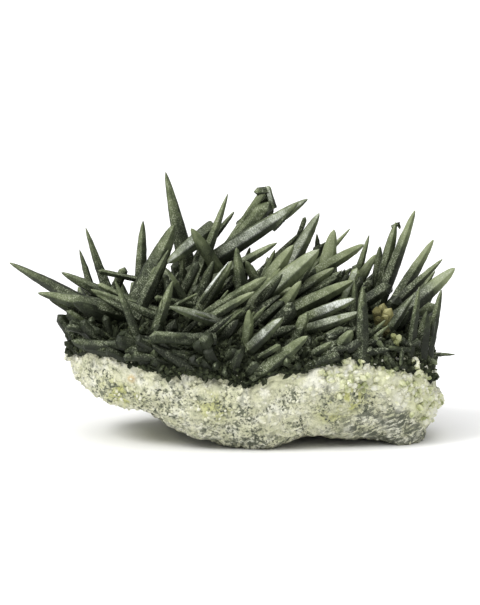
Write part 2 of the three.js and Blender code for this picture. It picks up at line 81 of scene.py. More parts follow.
# Rock sections from left to right: x, front low, back low, rim height, crown height, front, back
ROCK_SECTIONS = np.array(
    (
        (-32.6, 15.2, 14.6, 17.4, 17.9, -3.5, 4),
        (-31.4, 12.5, 11.0, 18.0, 18.8, -6.5, 7),
        (-29, 10.8, 9.0, 18.6, 19.8, -9.5, 10),
        (-25, 8.6, 6.5, 18.9, 21.0, -12.8, 13),
        (-20.5, 7.4, 4.5, 17.2, 21.5, -15.4, 15.5),
        (-16, 7.0, 2.5, 16.4, 22.0, -17.0, 17.5),
        (-12, 4.9, -0.9, 16.0, 22.3, -17.8, 18.6),
        (-8, 2.9, -1.0, 15.9, 22.5, -18.2, 19),
        (-4, 1.4, -1.1, 15.6, 22.6, -18.5, 19.2),
        (0, 0.2, -1.0, 14.7, 22.6, -18.6, 19.3),
        (3.5, -0.9, -1.0, 13.4, 22.6, -18.6, 19.2),
        (7, -0.8, -0.8, 15.4, 22.6, -18.4, 19),
        (10, 1.1, 0.6, 16.6, 22.6, -18.1, 18.8),
        (14, 1.5, 1.4, 16.2, 22.5, -17.8, 18.4),
        (18, 1.8, 1.9, 18.0, 22.4, -17.4, 18),
        (22, 1.9, 1.9, 18.6, 22.0, -16.8, 17.4),
        (26, 1.7, 1.4, 18.4, 21.2, -16.0, 16.4),
        (30, 1.1, 0.7, 16.8, 20.0, -14.9, 15.2),
        (33, -0.8, -0.8, 15.6, 18.8, -13.6, 13.6),
        (36, -0.9, -0.9, 15.2, 17.4, -12.0, 11.6),
        (38.4, 1.2, 1.0, 14.2, 15.4, -10.0, 9.4),
        (40.2, 4.4, 4.6, 12.0, 12.6, -7.5, 7),
        (41.2, 6.5, 6.8, 9.6, 9.8, -4.0, 4),
    )
)

# Highest line that crystals behind the front ones reach, seen from the front: x, height
SKYLINE = np.array(
    (
        (-44, 24), (-38, 27), (-30, 31), (-20, 31.5), (-15, 37), (-8, 39.5), (0, 38), (8, 41),
        (14, 40), (20, 38), (28, 36), (34, 35), (40, 31), (44, 26),
    )
)

# How far crystals lean to the right along the rock: x, degrees from upright
FAN = np.array(
    ((-34, -62), (-26, -48), (-19, -18), (-12, 6), (-4, 34), (6, 46), (16, 42), (24, 26), (38, 30))
)

# How far short crystals along the rims lean to the right: x, sideways share
RIM_LEAN = np.array(((-32, -0.9), (-8, -1.2), (0, 0.2), (5, 1.1), (22, 1.0), (38, 0.6)))


class Habit(Enum):
    """How a crystal is built."""

    SPEAR = (0.95, 1.5, 1.7)
    LANCE = (0.92, 2.8, 1.4)
    PRISM = (0.9, 4.0, 1.1)
    BLADE = (0.68, 3.0, 1.3)
    STUB = (0.92, 8.0, 0.95)
    BLOCK = (0.9, 14.0, 0.5)

    def __init__(self, flatness: float, fullness: float, steepness: float) -> None:
        """Keeps how deep it is for its width, how full it stays, and how steep its point is.

        Args:
            flatness: its depth as a share of its width.
            fullness: how late it tapers.
            steepness: how long its point is for its width.
        """
        self.flatness = flatness
        self.fullness = fullness
        self.steepness = steepness


@dataclass(frozen=True)
class Crystal:
    """One crystal, with its tip and foot as x, height as seen from the front, and depth."""

    habit: Habit
    tip: Point
    foot: Point
    width: float
    turn: float | None = None
    tone: float = 0.0
    # Painted highlight on the side most towards the light; that side is also made smoother.
    gleam: float = 0.0
    # How much paler its tip gets: partly the crystal's own clearer tip, partly painted glow of light
    # shining through it.
    paling: float = 0.36


# Crystals that taper all the way, late, late and flattened, only near the tip, or hardly at all
spear, lance, blade, prism, stub = (
    partial(Crystal, habit) for habit in (Habit.SPEAR, Habit.LANCE, Habit.BLADE, Habit.PRISM, Habit.STUB)
)

LEFT_SPEARS = (
    spear((-44.6, 35.2, 2), (-21.4, 21.4, 2), 4.2, 30, tone=0.05),
    spear((-38.8, 29.0, -6), (-13.6, 22.7, -5), 5.6, 30, tone=0.12),
    spear((-36.4, 27.6, -5), (-23.4, 20.8, -4), 2.4),
    lance((-34.2, 33.2, 3), (-16.6, 24.2, 3), 3.3),
    spear((-30.6, 37.9, 6), (-25.7, 20.4, 4), 2.3),
    spear((-29.4, 42.4, 9), (-22.2, 22.0, 6), 2.9, 30, tone=0.1),
    stub((-26.8, 33.5, -1), (-15, 31.0, 2), 1.6),
    stub((-21.4, 34.3, 1), (-25.4, 25.5, 2), 2.1, tone=0.1),
    lance((-17.8, 43.7, 4), (-18.2, 21.4, 1), 3.0, 30, tone=0.1),
    lance((-23.2, 31.6, -15), (-17.0, 14.8, -14), 2.0, 30, tone=0.15),
    prism((-28.1, 29.7, -8), (-14.4, 23.7, -7), 2.0, tone=0.15),
    spear((-27, 28.6, -9), (-18.4, 23.9, -8), 2.0),
    stub((-26.8, 30.8, -4), (-17, 26, -5), 1.5, tone=0.3),
    prism((-20.8, 27.6, -6), (-6.4, 21, -4), 2.8),
)

low_stub = partial(stub, paling=LEFT_STUB_PALING)
LEFT_STUBS = (
    low_stub((-34.8, 24.6, -5), (-30, 17.8, -5), 2.4),
    low_stub((-33.1, 25.4, -7), (-26, 21, -6), 2.0, tone=0.4),
    low_stub((-27.8, 24.2, -10), (-29, 16.6, -8), 1.6),
    low_stub((-25.4, 24.5, -11), (-23.6, 18, -9), 1.9),
    low_stub((-27, 21.4, -12.5), (-26.6, 20, -6), 2.0),
    low_stub((-25.6, 17.3, -14), (-23.8, 19.6, -8), 1.8, tone=0.3),
    low_stub((-21.6, 20.6, -15.5), (-21, 18.4, -9), 2.8, tone=0.2),
    low_stub((-17.8, 21.4, -15), (-17.4, 19, -8), 1.4),
)

MIDDLE_SPIRES = (
    spear((-13.3, 53.7, 6), (-5.8, 21.4, 2), 4.7, 30, tone=0.08),
    blade((-11.4, 42.9, 0), (-21.4, 21.8, -3), 5.0, 30, tone=0.05),
    blade((-12.9, 34.9, -4.5), (-3.6, 42.5, 1.5), 3.6, gleam=0.5, tone=0.3),
    prism((-8.1, 42.1, -5.5), (-1.8, 31.8, -2), 2.7, tone=0.62),
    spear((-0.8, 49.2, -1), (-10.2, 22.4, -2), 3.6, 30, tone=0.22),
    prism((0.5, 45.6, 1), (-6.6, 36.4, 1), 1.5),
    # Dark tone: painted shade of the hollow that this crystal sits in.
    prism((-5, 40.6, 2), (-9.4, 23.5, 0), 4.2, tone=-0.35),
    spear((-9.8, 37.1, -3), (-10.4, 25.6, -2), 1.8, tone=0.2),
    spear((-12.6, 37.8, -5), (-19.8, 22.4, -6), 3.4, tone=0.1),
    spear((-12.7, 33.8, -10), (-7.4, 23.9, -7), 2.3, tone=0.3),
    lance((-11.7, 31.4, -14), (-16.2, 17.2, -12), 2.7, 30, tone=0.3),
    spear((-6.8, 28.9, -13), (-14.4, 24.5, -8), 1.6, tone=0.2),
    blade((-12.4, 26.2, -17), (2.6, 21.4, -10), 2.7, tone=0.45, gleam=0.3),
    stub((-15.4, 28, -12), (-3.8, 25.9, -6), 1.4, tone=0.1),
    stub((-16.4, 20.2, -19.6), (-3.4, 19.4, -15), 2.9, tone=0.1, paling=0.2),
    stub((-5.4, 18.9, -20), (-4, 20.4, -9), 3.8, tone=0.1, paling=0.12),
    stub((-15.4, 16.7, -18.5), (-15, 18, -9), 2.4),
    stub((-13.8, 16.3, -18.5), (-7, 16, -12), 1.9),
    stub((-7, 15.1, -20), (-3.6, 17.3, -14), 1.0, tone=0.2, paling=0.1),
    stub((-1.5, 12.5, -20.5), (-1, 14.5, -15), 1.4, tone=0.1, paling=0.1),
    stub((-3.4, 13.9, -20.5), (-2.4, 15, -15), 1.9, tone=0.1, paling=0.1),
)

CENTRE_BLADES = (
    stub((6.9, 50.4, 5), (-0.8, 38.6, 4.5), 2.1, tone=0.5),
    stub((4.3, 49.6, 4.4), (7.6, 49.8, 5), 1.9, tone=0.1),
    stub((7.6, 47.7, 4), (-11.4, 23, 4), 3.7, 0, tone=-0.05),
    stub((7.0, 50.9, 4.9), (8.3, 46.2, 4.4), 1.7, tone=0.5, gleam=0.5),
    stub((7.6, 43.5, 4.4), (8.1, 47.6, 4.6), 1.1, tone=0.3),
    stub((7.6, 49.4, 6.4), (1.6, 42.4, 6.4), 2.6, tone=-0.25),
    blade((15.2, 48.1, 2), (-8.4, 32.5, -1), 3.8, 30, tone=0.2, gleam=0.5),
    spear((13.3, 47.5, 1), (8, 42, 1.2), 1.5, tone=0.3),
    prism((9, 39.2, -3), (-7.4, 29, -3), 2.4, tone=0.25),
    lance((0.9, 38.3, -8), (3, 22.4, -6), 3.4, 30, tone=0.2),
    blade((0, 35.5, -9), (-8, 23.1, -8), 3.0, gleam=0.25, tone=0.3),
    # A thin crystal whose strong painted highlight draws a bright white strip.
    spear((-0.5, 35.4, -10.2), (-6.4, 27, -9.8), 1.3, tone=0.4, gleam=2.2),
    prism((2.7, 35.5, -6), (7.2, 27.1, -5), 2.5, tone=0.3),
    lance((8.6, 37.8, -3), (3.6, 25.5, -3), 2.0, tone=0.2),
    stub((14.7, 44.5, 3.5), (13.0, 39.6, 3.4), 1.2),
    spear((14.2, 41.8, 3.4), (-1.4, 25.2, 2.6), 2.9, tone=-0.2),
    lance((17.5, 45.3, 3), (6.6, 25.6, 0), 3.8, 30, tone=0.3, gleam=0.3),
    spear((17, 41.1, 5.4), (17.4, 36.2, 5), 1.5, tone=-0.1),
    spear((18.7, 39.4, 4.6), (16.6, 36.4, 5), 1.8, tone=-0.1),
    stub((17.4, 39.2, 5), (15.4, 25, 4), 2.6, tone=-0.2),
    blade((12.3, 38.8, -4), (1.6, 23.1, -5), 4.0, 30, tone=0.6),
    blade((17.4, 37.9, -6), (0.6, 22.4, -7), 5.5, 30, tone=0.65, gleam=0.2),
    spear((17.4, 37.4, -3.4), (9.6, 24.6, -4), 2.2, tone=0.3),
    blade((13.8, 31.4, -9), (6.2, 20.4, -9), 3.0, tone=0.65),
    prism((7, 32.2, -11), (-8.4, 21.8, -10), 3.4, tone=0.25),
    prism((4.5, 29.2, -14), (-6.4, 22.4, -12), 2.1, tone=0.45),
    spear((2.2, 25.5, -15), (-4.4, 19.8, -12), 1.5, tone=0.25),
    prism((3.5, 25.6, -16.5), (2.6, 16.6, -14), 2.2, tone=0.65),
    spear((6.8, 26.3, -14), (-0.4, 18.4, -12), 2.2, tone=0.3),
    prism((10, 24.0, -17.5), (2.2, 16.3, -15), 3.0, tone=0.3, gleam=0.7),
    prism((15, 20.3, -19), (4, 11.4, -17), 2.9, tone=0.3),
    prism((14.4, 19.8, -17.6), (8.6, 14.2, -15.6), 2.2, tone=0.05),
    prism((19.8, 19, -17.4), (13.6, 15, -15), 2.0, tone=0.1),
    blade((24.2, 31.5, -6), (7.6, 23.2, -9), 3.7, 30, tone=0.45),
    stub((14.8, 25.0, -14.5), (11, 15.9, -14), 2.6, tone=0.1),
    stub((9.6, 18.5, -19.5), (5.2, 15.7, -16), 1.7, tone=0.15),
    stub((1.8, 17.6, -19.5), (0.2, 12.9, -17), 2.0, tone=0.1, paling=0.15),
    stub((5, 14.9, -20.5), (2.6, 12, -16), 2.0, tone=0.1, paling=0.1),
    stub((11, 14.9, -20), (10.6, 15.5, -14), 2.0),
    stub((13, 14.9, -18.8), (13.2, 12.6, -16), 1.8, tone=0.25, paling=0.1),
)

RIGHT_CENTRE_BLADES = (
    blade((20.4, 42, 2), (17, 24.5, 1), 4.0, 10, tone=0.75),
    spear((23.8, 42.3, 4), (10, 27.6, 2.2), 2.2, tone=0.65),
    prism((26.4, 38.9, 2), (13.6, 31, 1), 2.8, tone=0.65),
    spear((27.5, 40.9, 6), (22.6, 24, 4), 2.4, tone=0.35),
    blade((28.8, 36.9, 5), (21.6, 25.6, 3), 2.8, tone=0.65),
    prism((20.4, 34.1, -3), (6.6, 24.9, -4), 2.8, tone=0.4),
    stub((25, 34.1, -2), (21.4, 25, -2), 2.0, tone=0.75, gleam=0.4),
    blade((24.4, 27.8, -13), (14.6, 23.4, -11), 3.2, 30, tone=0.45, gleam=1.3),
    lance((25.8, 25.1, -14), (12.6, 20.6, -11), 3.0, tone=0.3, gleam=0.3),
    lance((26, 30.2, -14.8), (25.9, 14.8, -15.6), 3.1, 30, tone=0.05),
    spear((24.4, 32, -8.4), (24.4, 18.4, -9), 2.4, tone=0.1),
    prism((24, 21.4, -16.5), (19.6, 14.7, -13), 3.4, tone=0.25),
    spear((30.4, 23.5, -15), (25.6, 18.4, -12.4), 1.5, tone=0.2),
    spear((31, 22.4, -15.6), (25.4, 17.6, -13), 1.4, tone=0.3),
)

DARK_BACKING = (
    stub((-2.6, 37, 4), (-8, 22, 3), 4),
    spear((3.6, 38.4, 5.6), (0, 22, 4), 3.6),
    spear((10, 37.6, 5), (4.6, 22, 3), 3.6),
    spear((13.8, 38.2, 7), (9, 24, 5), 3.2),
    spear((-15.6, 38, 3.4), (-13.6, 22, 2), 3.2),
    spear((20, 36.6, 6), (17.6, 22, 5.6), 3),
    spear((-22.6, 32, 5), (-19, 21, 4), 2.6),
)

RIGHT_SPRAY = (
    prism((32.9, 43.5, 8), (27.9, 22.5, 6), 2.9, 30, tone=0.12, paling=0.5),
    lance((29.8, 38.6, 9), (28.4, 22, 6), 3.0),
    lance((36.7, 45.9, 7), (28.3, 23.6, 4), 3.2, 30, tone=0.02, paling=0.75),
    lance((40.3, 39.9, 3), (29.8, 21.8, 1), 3.1, 30, tone=0.05, paling=0.85),
    spear((42.1, 35.9, 0), (30.2, 24.2, -1), 2.8, 30, tone=0.02, paling=0.6),
    spear((40.6, 33.5, -1.6), (36, 26.9, -3.4), 1.6, tone=0.3),
    prism((44.5, 34.1, -3), (31, 22.4, -4), 3.5, 30, tone=-0.05, paling=1.1, gleam=0.12),
    spear((36.2, 28.6, -7.5), (31, 20.5, -6), 2.4, 30, tone=0.3, gleam=0.3),
    lance((37.2, 30.3, -11.5), (35.2, 14.3, -10.5), 1.8, 30, tone=0.1),
    lance((41.7, 29.7, -6), (38.6, 13.6, -5.6), 2.5, 30, tone=0.05),
    lance((38.8, 25.4, -8.9), (37.0, 13.6, -8.1), 3.2, 30, tone=-0.15),
    spear((44.6, 16.4, -4), (36.6, 16.4, -4), 1.3),
    stub((39.8, 12.6, -9.5), (37, 14.2, -6.5), 1.4, tone=0.2),
    stub((41.0, 14.4, -7.5), (37.2, 16.2, -6), 1.6, tone=0.1),
    stub((30.4, 18.2, -13.6), (35.6, 16.4, -9.5), 1.6, tone=0.2),
    stub((32.6, 13.4, -15.2), (32.4, 16, -9.5), 1.5, tone=0.4),
    stub((30.2, 15.6, -15.6), (31, 16.8, -9.5), 1.6, tone=0.3),
    stub((28.2, 20.6, -14.6), (32.4, 13.9, -14.2), 1.4, 30, tone=0.2),
    stub((31, 17.9, -14.8), (35.4, 17.4, -11.8), 1.1, 30, tone=0.15),
    stub((33.5, 14.2, -14.2), (33.8, 17.8, -13), 1.0, 30, tone=0.1),
    stub((31.2, 14.3, -14.8), (35.6, 13.8, -12), 1.0, 30, tone=0.1),
    stub((33.6, 43.2, 8), (32, 42.4, 8), 0.9, 30, tone=0.1),
    stub((33.7, 42, 8), (33.3, 43.4, 8), 0.7, 30, tone=0.1),
)

YELLOW_POINTS = (
    stub((32.0, 20.8, -12.6), (33.0, 17.4, -9.5), 1.3, tone=0.45),
    stub((33.1, 20.4, -13.2), (33.4, 17.2, -9.5), 1.4, tone=0.75),
    stub((32.5, 19.3, -13.8), (33.0, 16.8, -9.5), 1.2, tone=0.3),
)

ROSETTE_ROOT = (29.9, 18.2, -8.4)
TAN_ROSETTE = (
    stub((28.6, 26.2, -11.4), (29.4, 22.8, -9.8), 2.3, 0, tone=0.3),
    stub((31.7, 25.9, -11.4), (29.7, 23.0, -10), 2.6, 0, tone=0.55),
    stub((30.2, 26.9, -10.6), (29.6, 23.4, -9.6), 2.2, 0, tone=0.2),
    stub((31.0, 24.3, -12.2), (29.4, 23.8, -9.8), 1.7, 0, tone=0.6),
    stub((29.0, 24.2, -12.0), (29.2, 22.8, -9.6), 1.6, 0, tone=0.25),
    stub((31.0, 22.2, -10.8), ROSETTE_ROOT, 1.7, 0, tone=-0.3),
)


@dataclass(frozen=True)
class Region:
    """A stretch of the rock's top where crystals grow by rule.

    It has ends along x, and shares of the rock's depth there between which the crystals stand.
    """

    seed: int
    count: int
    left: float
    right: float
    nearest: float = 0.0
    farthest: float = 1.0


BACK_GROWTH = Region(9, 25, -29, 25, 0.18, 0.88)
RIGHT_BACK_GROWTH = Region(23, 7, 30, 36, 0.1, 0.75)
GOLDEN_RATIO = 0.618
GROWN_LENGTH = (9.0, 22.0)
GROWN_WIDTH = (2.8, 4.8)
GROWN_SPEARS = 0.6
FAN_ACROSS = 34.0
FAN_DEEP = 15.0
FILLING_WIDTH = (1.6, 3.4)
# Mostly dark tones, which paint the shade of the hollows between the bigger crystals.
FILLING_TONE_AND_SHADE = (-0.45, 0.05)
FILLING_SWAY = 24  # degrees by which a filling crystal may lean off its neighbours
FRONT_TILT, BACK_TILT = 48, 24  # depth for each unit of tilt outward, in front and behind
RIM_REACH = 6.0
RIM_ENDS = (-34.4, 42)  # how far left and right the tips of rim crystals reach


class Stream:
    """Repeatable random numbers."""

    def __init__(self, seed: int) -> None:
        """Starts the stream at its seed."""
        self.state = seed

    def next(self) -> float:
        """The next number from 0 to 1."""
        self.state = (self.state * 1664525 + 1013904223) % 2**32
        return self.state / 2**32

    def between(self, low: float, high: float) -> float:
        """The next number from low to high."""
        return low + (high - low) * self.next()


def placed(seen: Point) -> np.ndarray:
    """The point at x, height as seen from the front, and depth."""
    x, seen_height, depth = seen
    return np.array((x, depth, seen_height - VIEW_RISE * depth))


def seen_from_front(point: np.ndarray) -> Point:
    """A point as x, height as seen from the front, and depth."""
    return float(point[0]), float(point[2] + VIEW_RISE * point[1]), float(point[1])


def section_at(x: float) -> tuple[float, ...]:
    """The rock's section at x: front low, back low, rim, crown, front and back."""
    return tuple(float(np.interp(x, ROCK_SECTIONS[:, 0], column)) for column in ROCK_SECTIONS.T[1:])


def rim_at(x: np.ndarray) -> np.ndarray:
    """The height of the rock's rim at each x."""
    return np.interp(x, ROCK_SECTIONS[:, 0], ROCK_SECTIONS[:, RIM])


def slope(value: float | np.ndarray, start: float | np.ndarray, run: float) -> np.ndarray:
    """A straight ramp from 0 at the start to 1 a run further on."""
    return np.clip((value - start) / run, 0, 1)


def top_height(x: float, y: float) -> float:
    """The height of the rock's top at a point.

    Args:
        x: how far to the right the point is.
        y: how far back it is.

    Returns:
        The height.
    """
    _, _, rim, crown, front, back = section_at(x)
    reach = min(1.0, abs(y / (front if y < 0 else back)))
    return crown - (crown - rim) * reach**2


def skyline(x: float) -> float:
    """The height that hidden crystals may reach at x, seen from the front."""
    return float(np.interp(x, SKYLINE[:, 0], SKYLINE[:, 1]))


def unit(vector: np.ndarray) -> np.ndarray:
    """The vector at length one."""
    return vector / np.linalg.norm(vector)


def grown_crystals(region: Region) -> list[Crystal]:
    """Crystals that fan outward behind the front ones, under the skyline of those.

    Args:
        region: where they grow and how many there are.

    Returns:
        The crystals, in the order in which they were drawn.
    """
    stream = Stream(region.seed)
    crystals = []
    for i in range(region.count):
        x = region.left + (region.right - region.left) * (i + stream.next()) / region.count
        share = (i * GOLDEN_RATIO + 0.2 * stream.next()) % 1
        *_, back = section_at(x)
        y = back * (region.nearest + (region.farthest - region.nearest) * share)
        z = top_height(x, y) - 1
        lean = np.array((x / FAN_ACROSS + stream.next() - 0.5, y / FAN_DEEP + stream.next() - 0.5, 1.1))
        tip = np.array((x, y, z)) + unit(lean) * stream.between(*GROWN_LENGTH)
        seen_height = min(tip[2] + VIEW_RISE * tip[1], skyline(tip[0]) - 2 * stream.next())
        depth = min(tip[1], BACK_LIMIT - 0.6 * stream.next())
        habit = Habit.SPEAR if stream.next() < GROWN_SPEARS else Habit.STUB
        side, foot = float(np.clip(tip[0], -37, 41)), (x, z + VIEW_RISE * y, y)
        crystals.append(Crystal(habit, (side, seen_height, depth), foot, stream.between(*GROWN_WIDTH)))
    return crystals


def fan_lean(x: float) -> float:
    """How far crystals lean to the right at x, in radians."""
    return math.radians(float(np.interp(x, FAN[:, 0], FAN[:, 1])))


def filling_crystals(region: Region, drop: float, length: tuple[float, float]) -> list[Crystal]:
    """Crystals that lean as their neighbours do and fill the dark spaces between them, mostly in dark tones
    that paint the shade of those spaces.

    Args:
        region: where they grow and how many there are, with depths as shares of the rock's depth.
        drop: how far below the skyline their tips stay.
        length: their least and most length.

    Returns:
        The crystals.
    """
    stream = Stream(region.seed)
    crystals = []
    for _ in range(region.count):
        x = stream.between(region.left, region.right)
        share = stream.between(region.nearest, region.farthest)
        *_, front, back = section_at(x)
        y = (back if share > 0 else front) * abs(share)
        z = top_height(x, y) + CRUST_THICKNESS + 0.5
        root = np.array((x, y, z))
        lean = fan_lean(x) + math.radians(stream.between(-FILLING_SWAY, FILLING_SWAY))
        tilt = y / (FRONT_TILT if y < 0 else BACK_TILT) + stream.between(-0.3, 0.3)
        direction = unit(np.array((math.sin(lean), tilt, math.cos(lean))))
        tip = root + direction * stream.between(*length)
        leftmost = -33.5 + 2.5 * abs(share)
        if tip[0] < leftmost:
            tip = root + (tip - root) * (leftmost - x) / (tip[0] - x)
        seen_height = min(tip[2] + VIEW_RISE * tip[1], skyline(tip[0]) - drop - 3 * stream.next())
        depth = float(np.clip(tip[1], FRONT_LIMIT, BACK_LIMIT - 0.5))
        side = float(np.clip(tip[0], -36, 41))
        habit = Habit.LANCE if stream.next() < 0.6 else Habit.STUB
        tone, width = stream.between(*FILLING_TONE_AND_SHADE), stream.between(*FILLING_WIDTH)
        tip_seen = (side, seen_height, depth)
        crystals.append(Crystal(habit, tip_seen, seen_from_front(root), width, tone=tone, paling=0.22))
    return crystals


def rim_crystals(region: Region, side: int) -> list[Crystal]:
    """Short stout crystals that lie along the front or back rim of the rock.

    Args:
        region: the stretch of rim along x, and how many crystals it has.
        side: -1 for the front rim and 1 for the back rim.

    Returns:
        The crystals.
    """
    stream = Stream(region.seed)
    crystals = []
    for _ in range(region.count):
        x = stream.between(region.left, region.right)
        _, _, rim, _, front, back = section_at(x)
        edge = front if side < 0 else back
        rise = stream.next()
        foot = np.array((x, edge * (0.94 - 0.22 * rise), rim + 0.8 + 3.6 * rise))
        lean = float(np.interp(x, RIM_LEAN[:, 0], RIM_LEAN[:, 1])) + stream.between(-0.5, 0.5)
        direction = unit(np.array((lean, side * stream.between(0.05, 0.5), stream.between(0.1, 1.0))))
        calm, cramped = float(slope(x, 13, 6)), float(slope(x, -25, -3))
        tip = foot + direction * stream.between(3.0, 10.5 - 4.5 * calm - 5.5 * cramped)
        tip[0] = np.clip(tip[0], *RIM_ENDS)
        tip[1] = np.clip(tip[1], FRONT_LIMIT + 0.4 * stream.next(), BACK_LIMIT - 0.5)
        x_seen, seen_height, depth = seen_from_front(tip)
        _, _, tip_rim, _, tip_front, _ = section_at(x_seen)
        lowest, highest = seen_height, seen_height
        if side < 0:
            lowest = tip_rim + VIEW_RISE * tip_front + 0.7
            highest = lowest + RIM_REACH
        habit = Habit.BLOCK if stream.next() < 0.6 else Habit.LANCE
        width, tone = stream.between(1.3, 3.1 - calm), stream.between(-0.26, 0.2)
        tip_seen = (x_seen, max(min(seen_height, highest), lowest + stream.next()), depth)
        crystals.append(Crystal(habit, tip_seen, seen_from_front(foot), width, tone=tone, paling=0.08))
    return crystals


def side_shoots(parents: Iterable[Crystal], seed: int) -> list[Crystal]:
    """Small crystals that branch off the lower half of stout ones.

    Args:
        parents: the crystals that may carry shoots.
        seed: where the random draws start.

    Returns:
        The shoots alone.
    """
    stream = Stream(seed)
    shoots = []
    for parent in parents:
        tip, foot = placed(parent.tip), placed(parent.foot)
        length = float(np.linalg.norm(tip - foot))
        if parent.width < 1.9 or length < 9:
            continue
        for _ in range(1 + (parent.width > 3)):
            start = stream.between(0.18, 0.6)
            skew = np.array([stream.between(-1, 1) for _ in range(3)])
            direction = unit(unit(tip - foot) + 0.34 * skew)
            base = foot + (tip - foot) * start
            end = base + direction * length * (1 - start) * stream.between(0.3, 0.62)
            end[1] = max(end[1], FRONT_LIMIT)
            if end[2] + VIEW_RISE * end[1] > skyline(end[0]) - 1:
                continue
            width = parent.width * stream.between(0.28, 0.5)
            habit = Habit.LANCE if stream.next() < 0.6 else Habit.STUB
            tone = parent.tone + stream.between(-0.15, 0.2)
            shoots.append(Crystal(habit, seen_from_front(end), seen_from_front(base), width, tone=tone))
    return shoots


def closed_curve(corners: np.ndarray, steps: tuple[int, ...]) -> np.ndarray:
    """A smooth closed curve through corners, with its own number of steps after each corner.

    Args:
        corners: the points that it passes through, one per row.
        steps: how many points start at each corner.

    Returns:
        The points of the curve.
    """
    points = []
    count = len(corners)
    for i, step in enumerate(steps):
        before, here, there, after = (corners[(i + shift) % count] for shift in (-1, 0, 1, 2))
        t = np.arange(step)[:, None] / step
        points.append(
            0.5
            * (
                2 * here
                + (there - before) * t
                + (2 * before - 5 * here + 4 * there - after) * t**2
                + (3 * here - before - 3 * there + after) * t**3
            )
        )
    return np.concatenate(points)


def swept(
    outline: Callable[[float], np.ndarray], stations: np.ndarray, steps: tuple[int, ...]
) -> np.ndarray:
    """A grid of smooth loops across x.

    Args:
        outline: gives the corners of the loop at x, as depth and height.
        stations: where the loops stand along x.
        steps: how many points start at each corner.

    Returns:
        The loops, as rows, points and coordinates.
    """
    loops = [closed_curve(outline(x), steps) for x in stations]
    return np.array([np.insert(loop, 0, x, axis=1) for x, loop in zip(stations, loops, strict=True)])


def noise_at(points: np.ndarray, size: float, shift: float = 0.0) -> np.ndarray:
    """Smooth noise from -1 to 1 at points.

    Args:
        points: one point per row.
        size: the size of its lumps.
        shift: an offset that gives another pattern.

    Returns:
        One value per point.
    """
    scaled = points / size + shift
    return np.array([noise.noise(Vector(row)) for row in scaled])


def cells_at(points: np.ndarray, size: float) -> tuple[np.ndarray, np.ndarray]:
    """How far each point is from the middle of its cell, and from the seam to the next cell.

    Args:
        points: one point per row.
        size: the size of the cells.

    Returns:
        The two distances, as shares of the size.
    """
    found = np.array([noise.voronoi(Vector(row))[0][:2] for row in points / size])
    return found[:, 0], found[:, 1] - found[:, 0]


@dataclass
class Surface:
    """Vertices in millimetres, faces, and one named number per vertex."""

    vertices: np.ndarray
    faces: list[tuple[int, ...]]
    marks: dict[str, np.ndarray] = field(default_factory=dict)

    def as_object(self, name: str, material: bpy.types.Material, crease: float) -> bpy.types.Object:
        """A mesh object in the scene, smooth but for edges sharper than a crease.

        Args:
            name: the object's name.
            material: its one material.
            crease: the angle in degrees from which an edge is sharp.

        Returns:
            The new object.
        """
        mesh = bpy.data.meshes.new(name)
        mesh.from_pydata((self.vertices * MM).tolist(), [], self.faces)
        for mark, values in self.marks.items():
            mesh.attributes.new(mark, "FLOAT", "POINT").data.foreach_set("value", values.astype(np.float32))
        mesh.polygons.foreach_set("use_smooth", np.ones(len(mesh.polygons), bool))
        mesh.set_sharp_from_angle(angle=math.radians(crease))
        mesh.materials.append(material)
        made = bpy.data.objects.new(name, mesh)
        bpy.context.scene.collection.objects.link(made)
        return made


def loft(grid: np.ndarray) -> tuple[np.ndarray, list[tuple[int, ...]]]:
    """A closed surface through rows of loops.

    Args:
        grid: the loops, as rows, points and coordinates.

    Returns:
        Its vertices and faces.
    """
    rows, count, _ = grid.shape
    vertices = np.concatenate((grid.reshape(-1, 3), grid[0].mean(0)[None], grid[-1].mean(0)[None]))
    start, end = len(vertices) - 2, len(vertices) - 1
    k = np.arange(count)
    following = (k + 1) % count
    faces = []
    for row in range(rows - 1):
        low, high = row * count, (row + 1) * count
        faces.extend(np.stack((low + k, high + k, high + following, low + following), 1).tolist())
    last = (rows - 1) * count
    faces.extend(np.stack((np.full(count, start), k, following), 1).tolist())
    faces.extend(np.stack((np.full(count, end), last + following, last + k), 1).tolist())
    return vertices, faces


def outward_normals(grid: np.ndarray) -> np.ndarray:
    """The outward direction at each point of a grid of loops.

    Args:
        grid: the loops, as rows, points and coordinates.

    Returns:
        Unit vectors, in the same order.
    """
    along = np.gradient(grid, axis=0)
    around = np.roll(grid, -1, axis=1) - np.roll(grid, 1, axis=1)
    normals = np.cross(along, around)
    return normals / np.maximum(np.linalg.norm(normals, axis=2, keepdims=True), 1e-9)


def with_rounded_ends(grid: np.ndarray, bulge: float) -> np.ndarray:
    """A grid of loops with a few shrinking loops added past each end.

    Args:
        grid: the loops.
        bulge: how far the rounded ends stand out.

    Returns:
        The longer grid.
    """
    rounds = []
    for loop, way in ((grid[0], -1), (grid[-1], 1)):
        middle = loop.mean(0)
        caps = []
        for angle in np.radians((25, 45, 62, 78)):
            cap = middle + (loop - middle) * math.cos(angle)
            cap[:, 0] = loop[:, 0] + way * bulge * math.sin(angle)
            caps.append(cap)
        rounds.append(caps)
    return np.concatenate((np.array(rounds[0][::-1]), grid, np.array(rounds[1])))


def math_method(operation: str, reverse: bool = False) -> Callable[[Wire, Wire | float], Wire]:
    """A method of Wire that adds one Math node.

    Args:
        operation: what the node does.
        reverse: whether the wire is the second input, after a number.

    Returns:
        The method.
    """

    def method(wire: Wire, other: Wire | float) -> Wire:
        """The node's result."""
        first, second = (other, wire) if reverse else (wire, other)
        return wire.bench.node("ShaderNodeMath", {"operation": operation}, {0: first, 1: second})

    return method


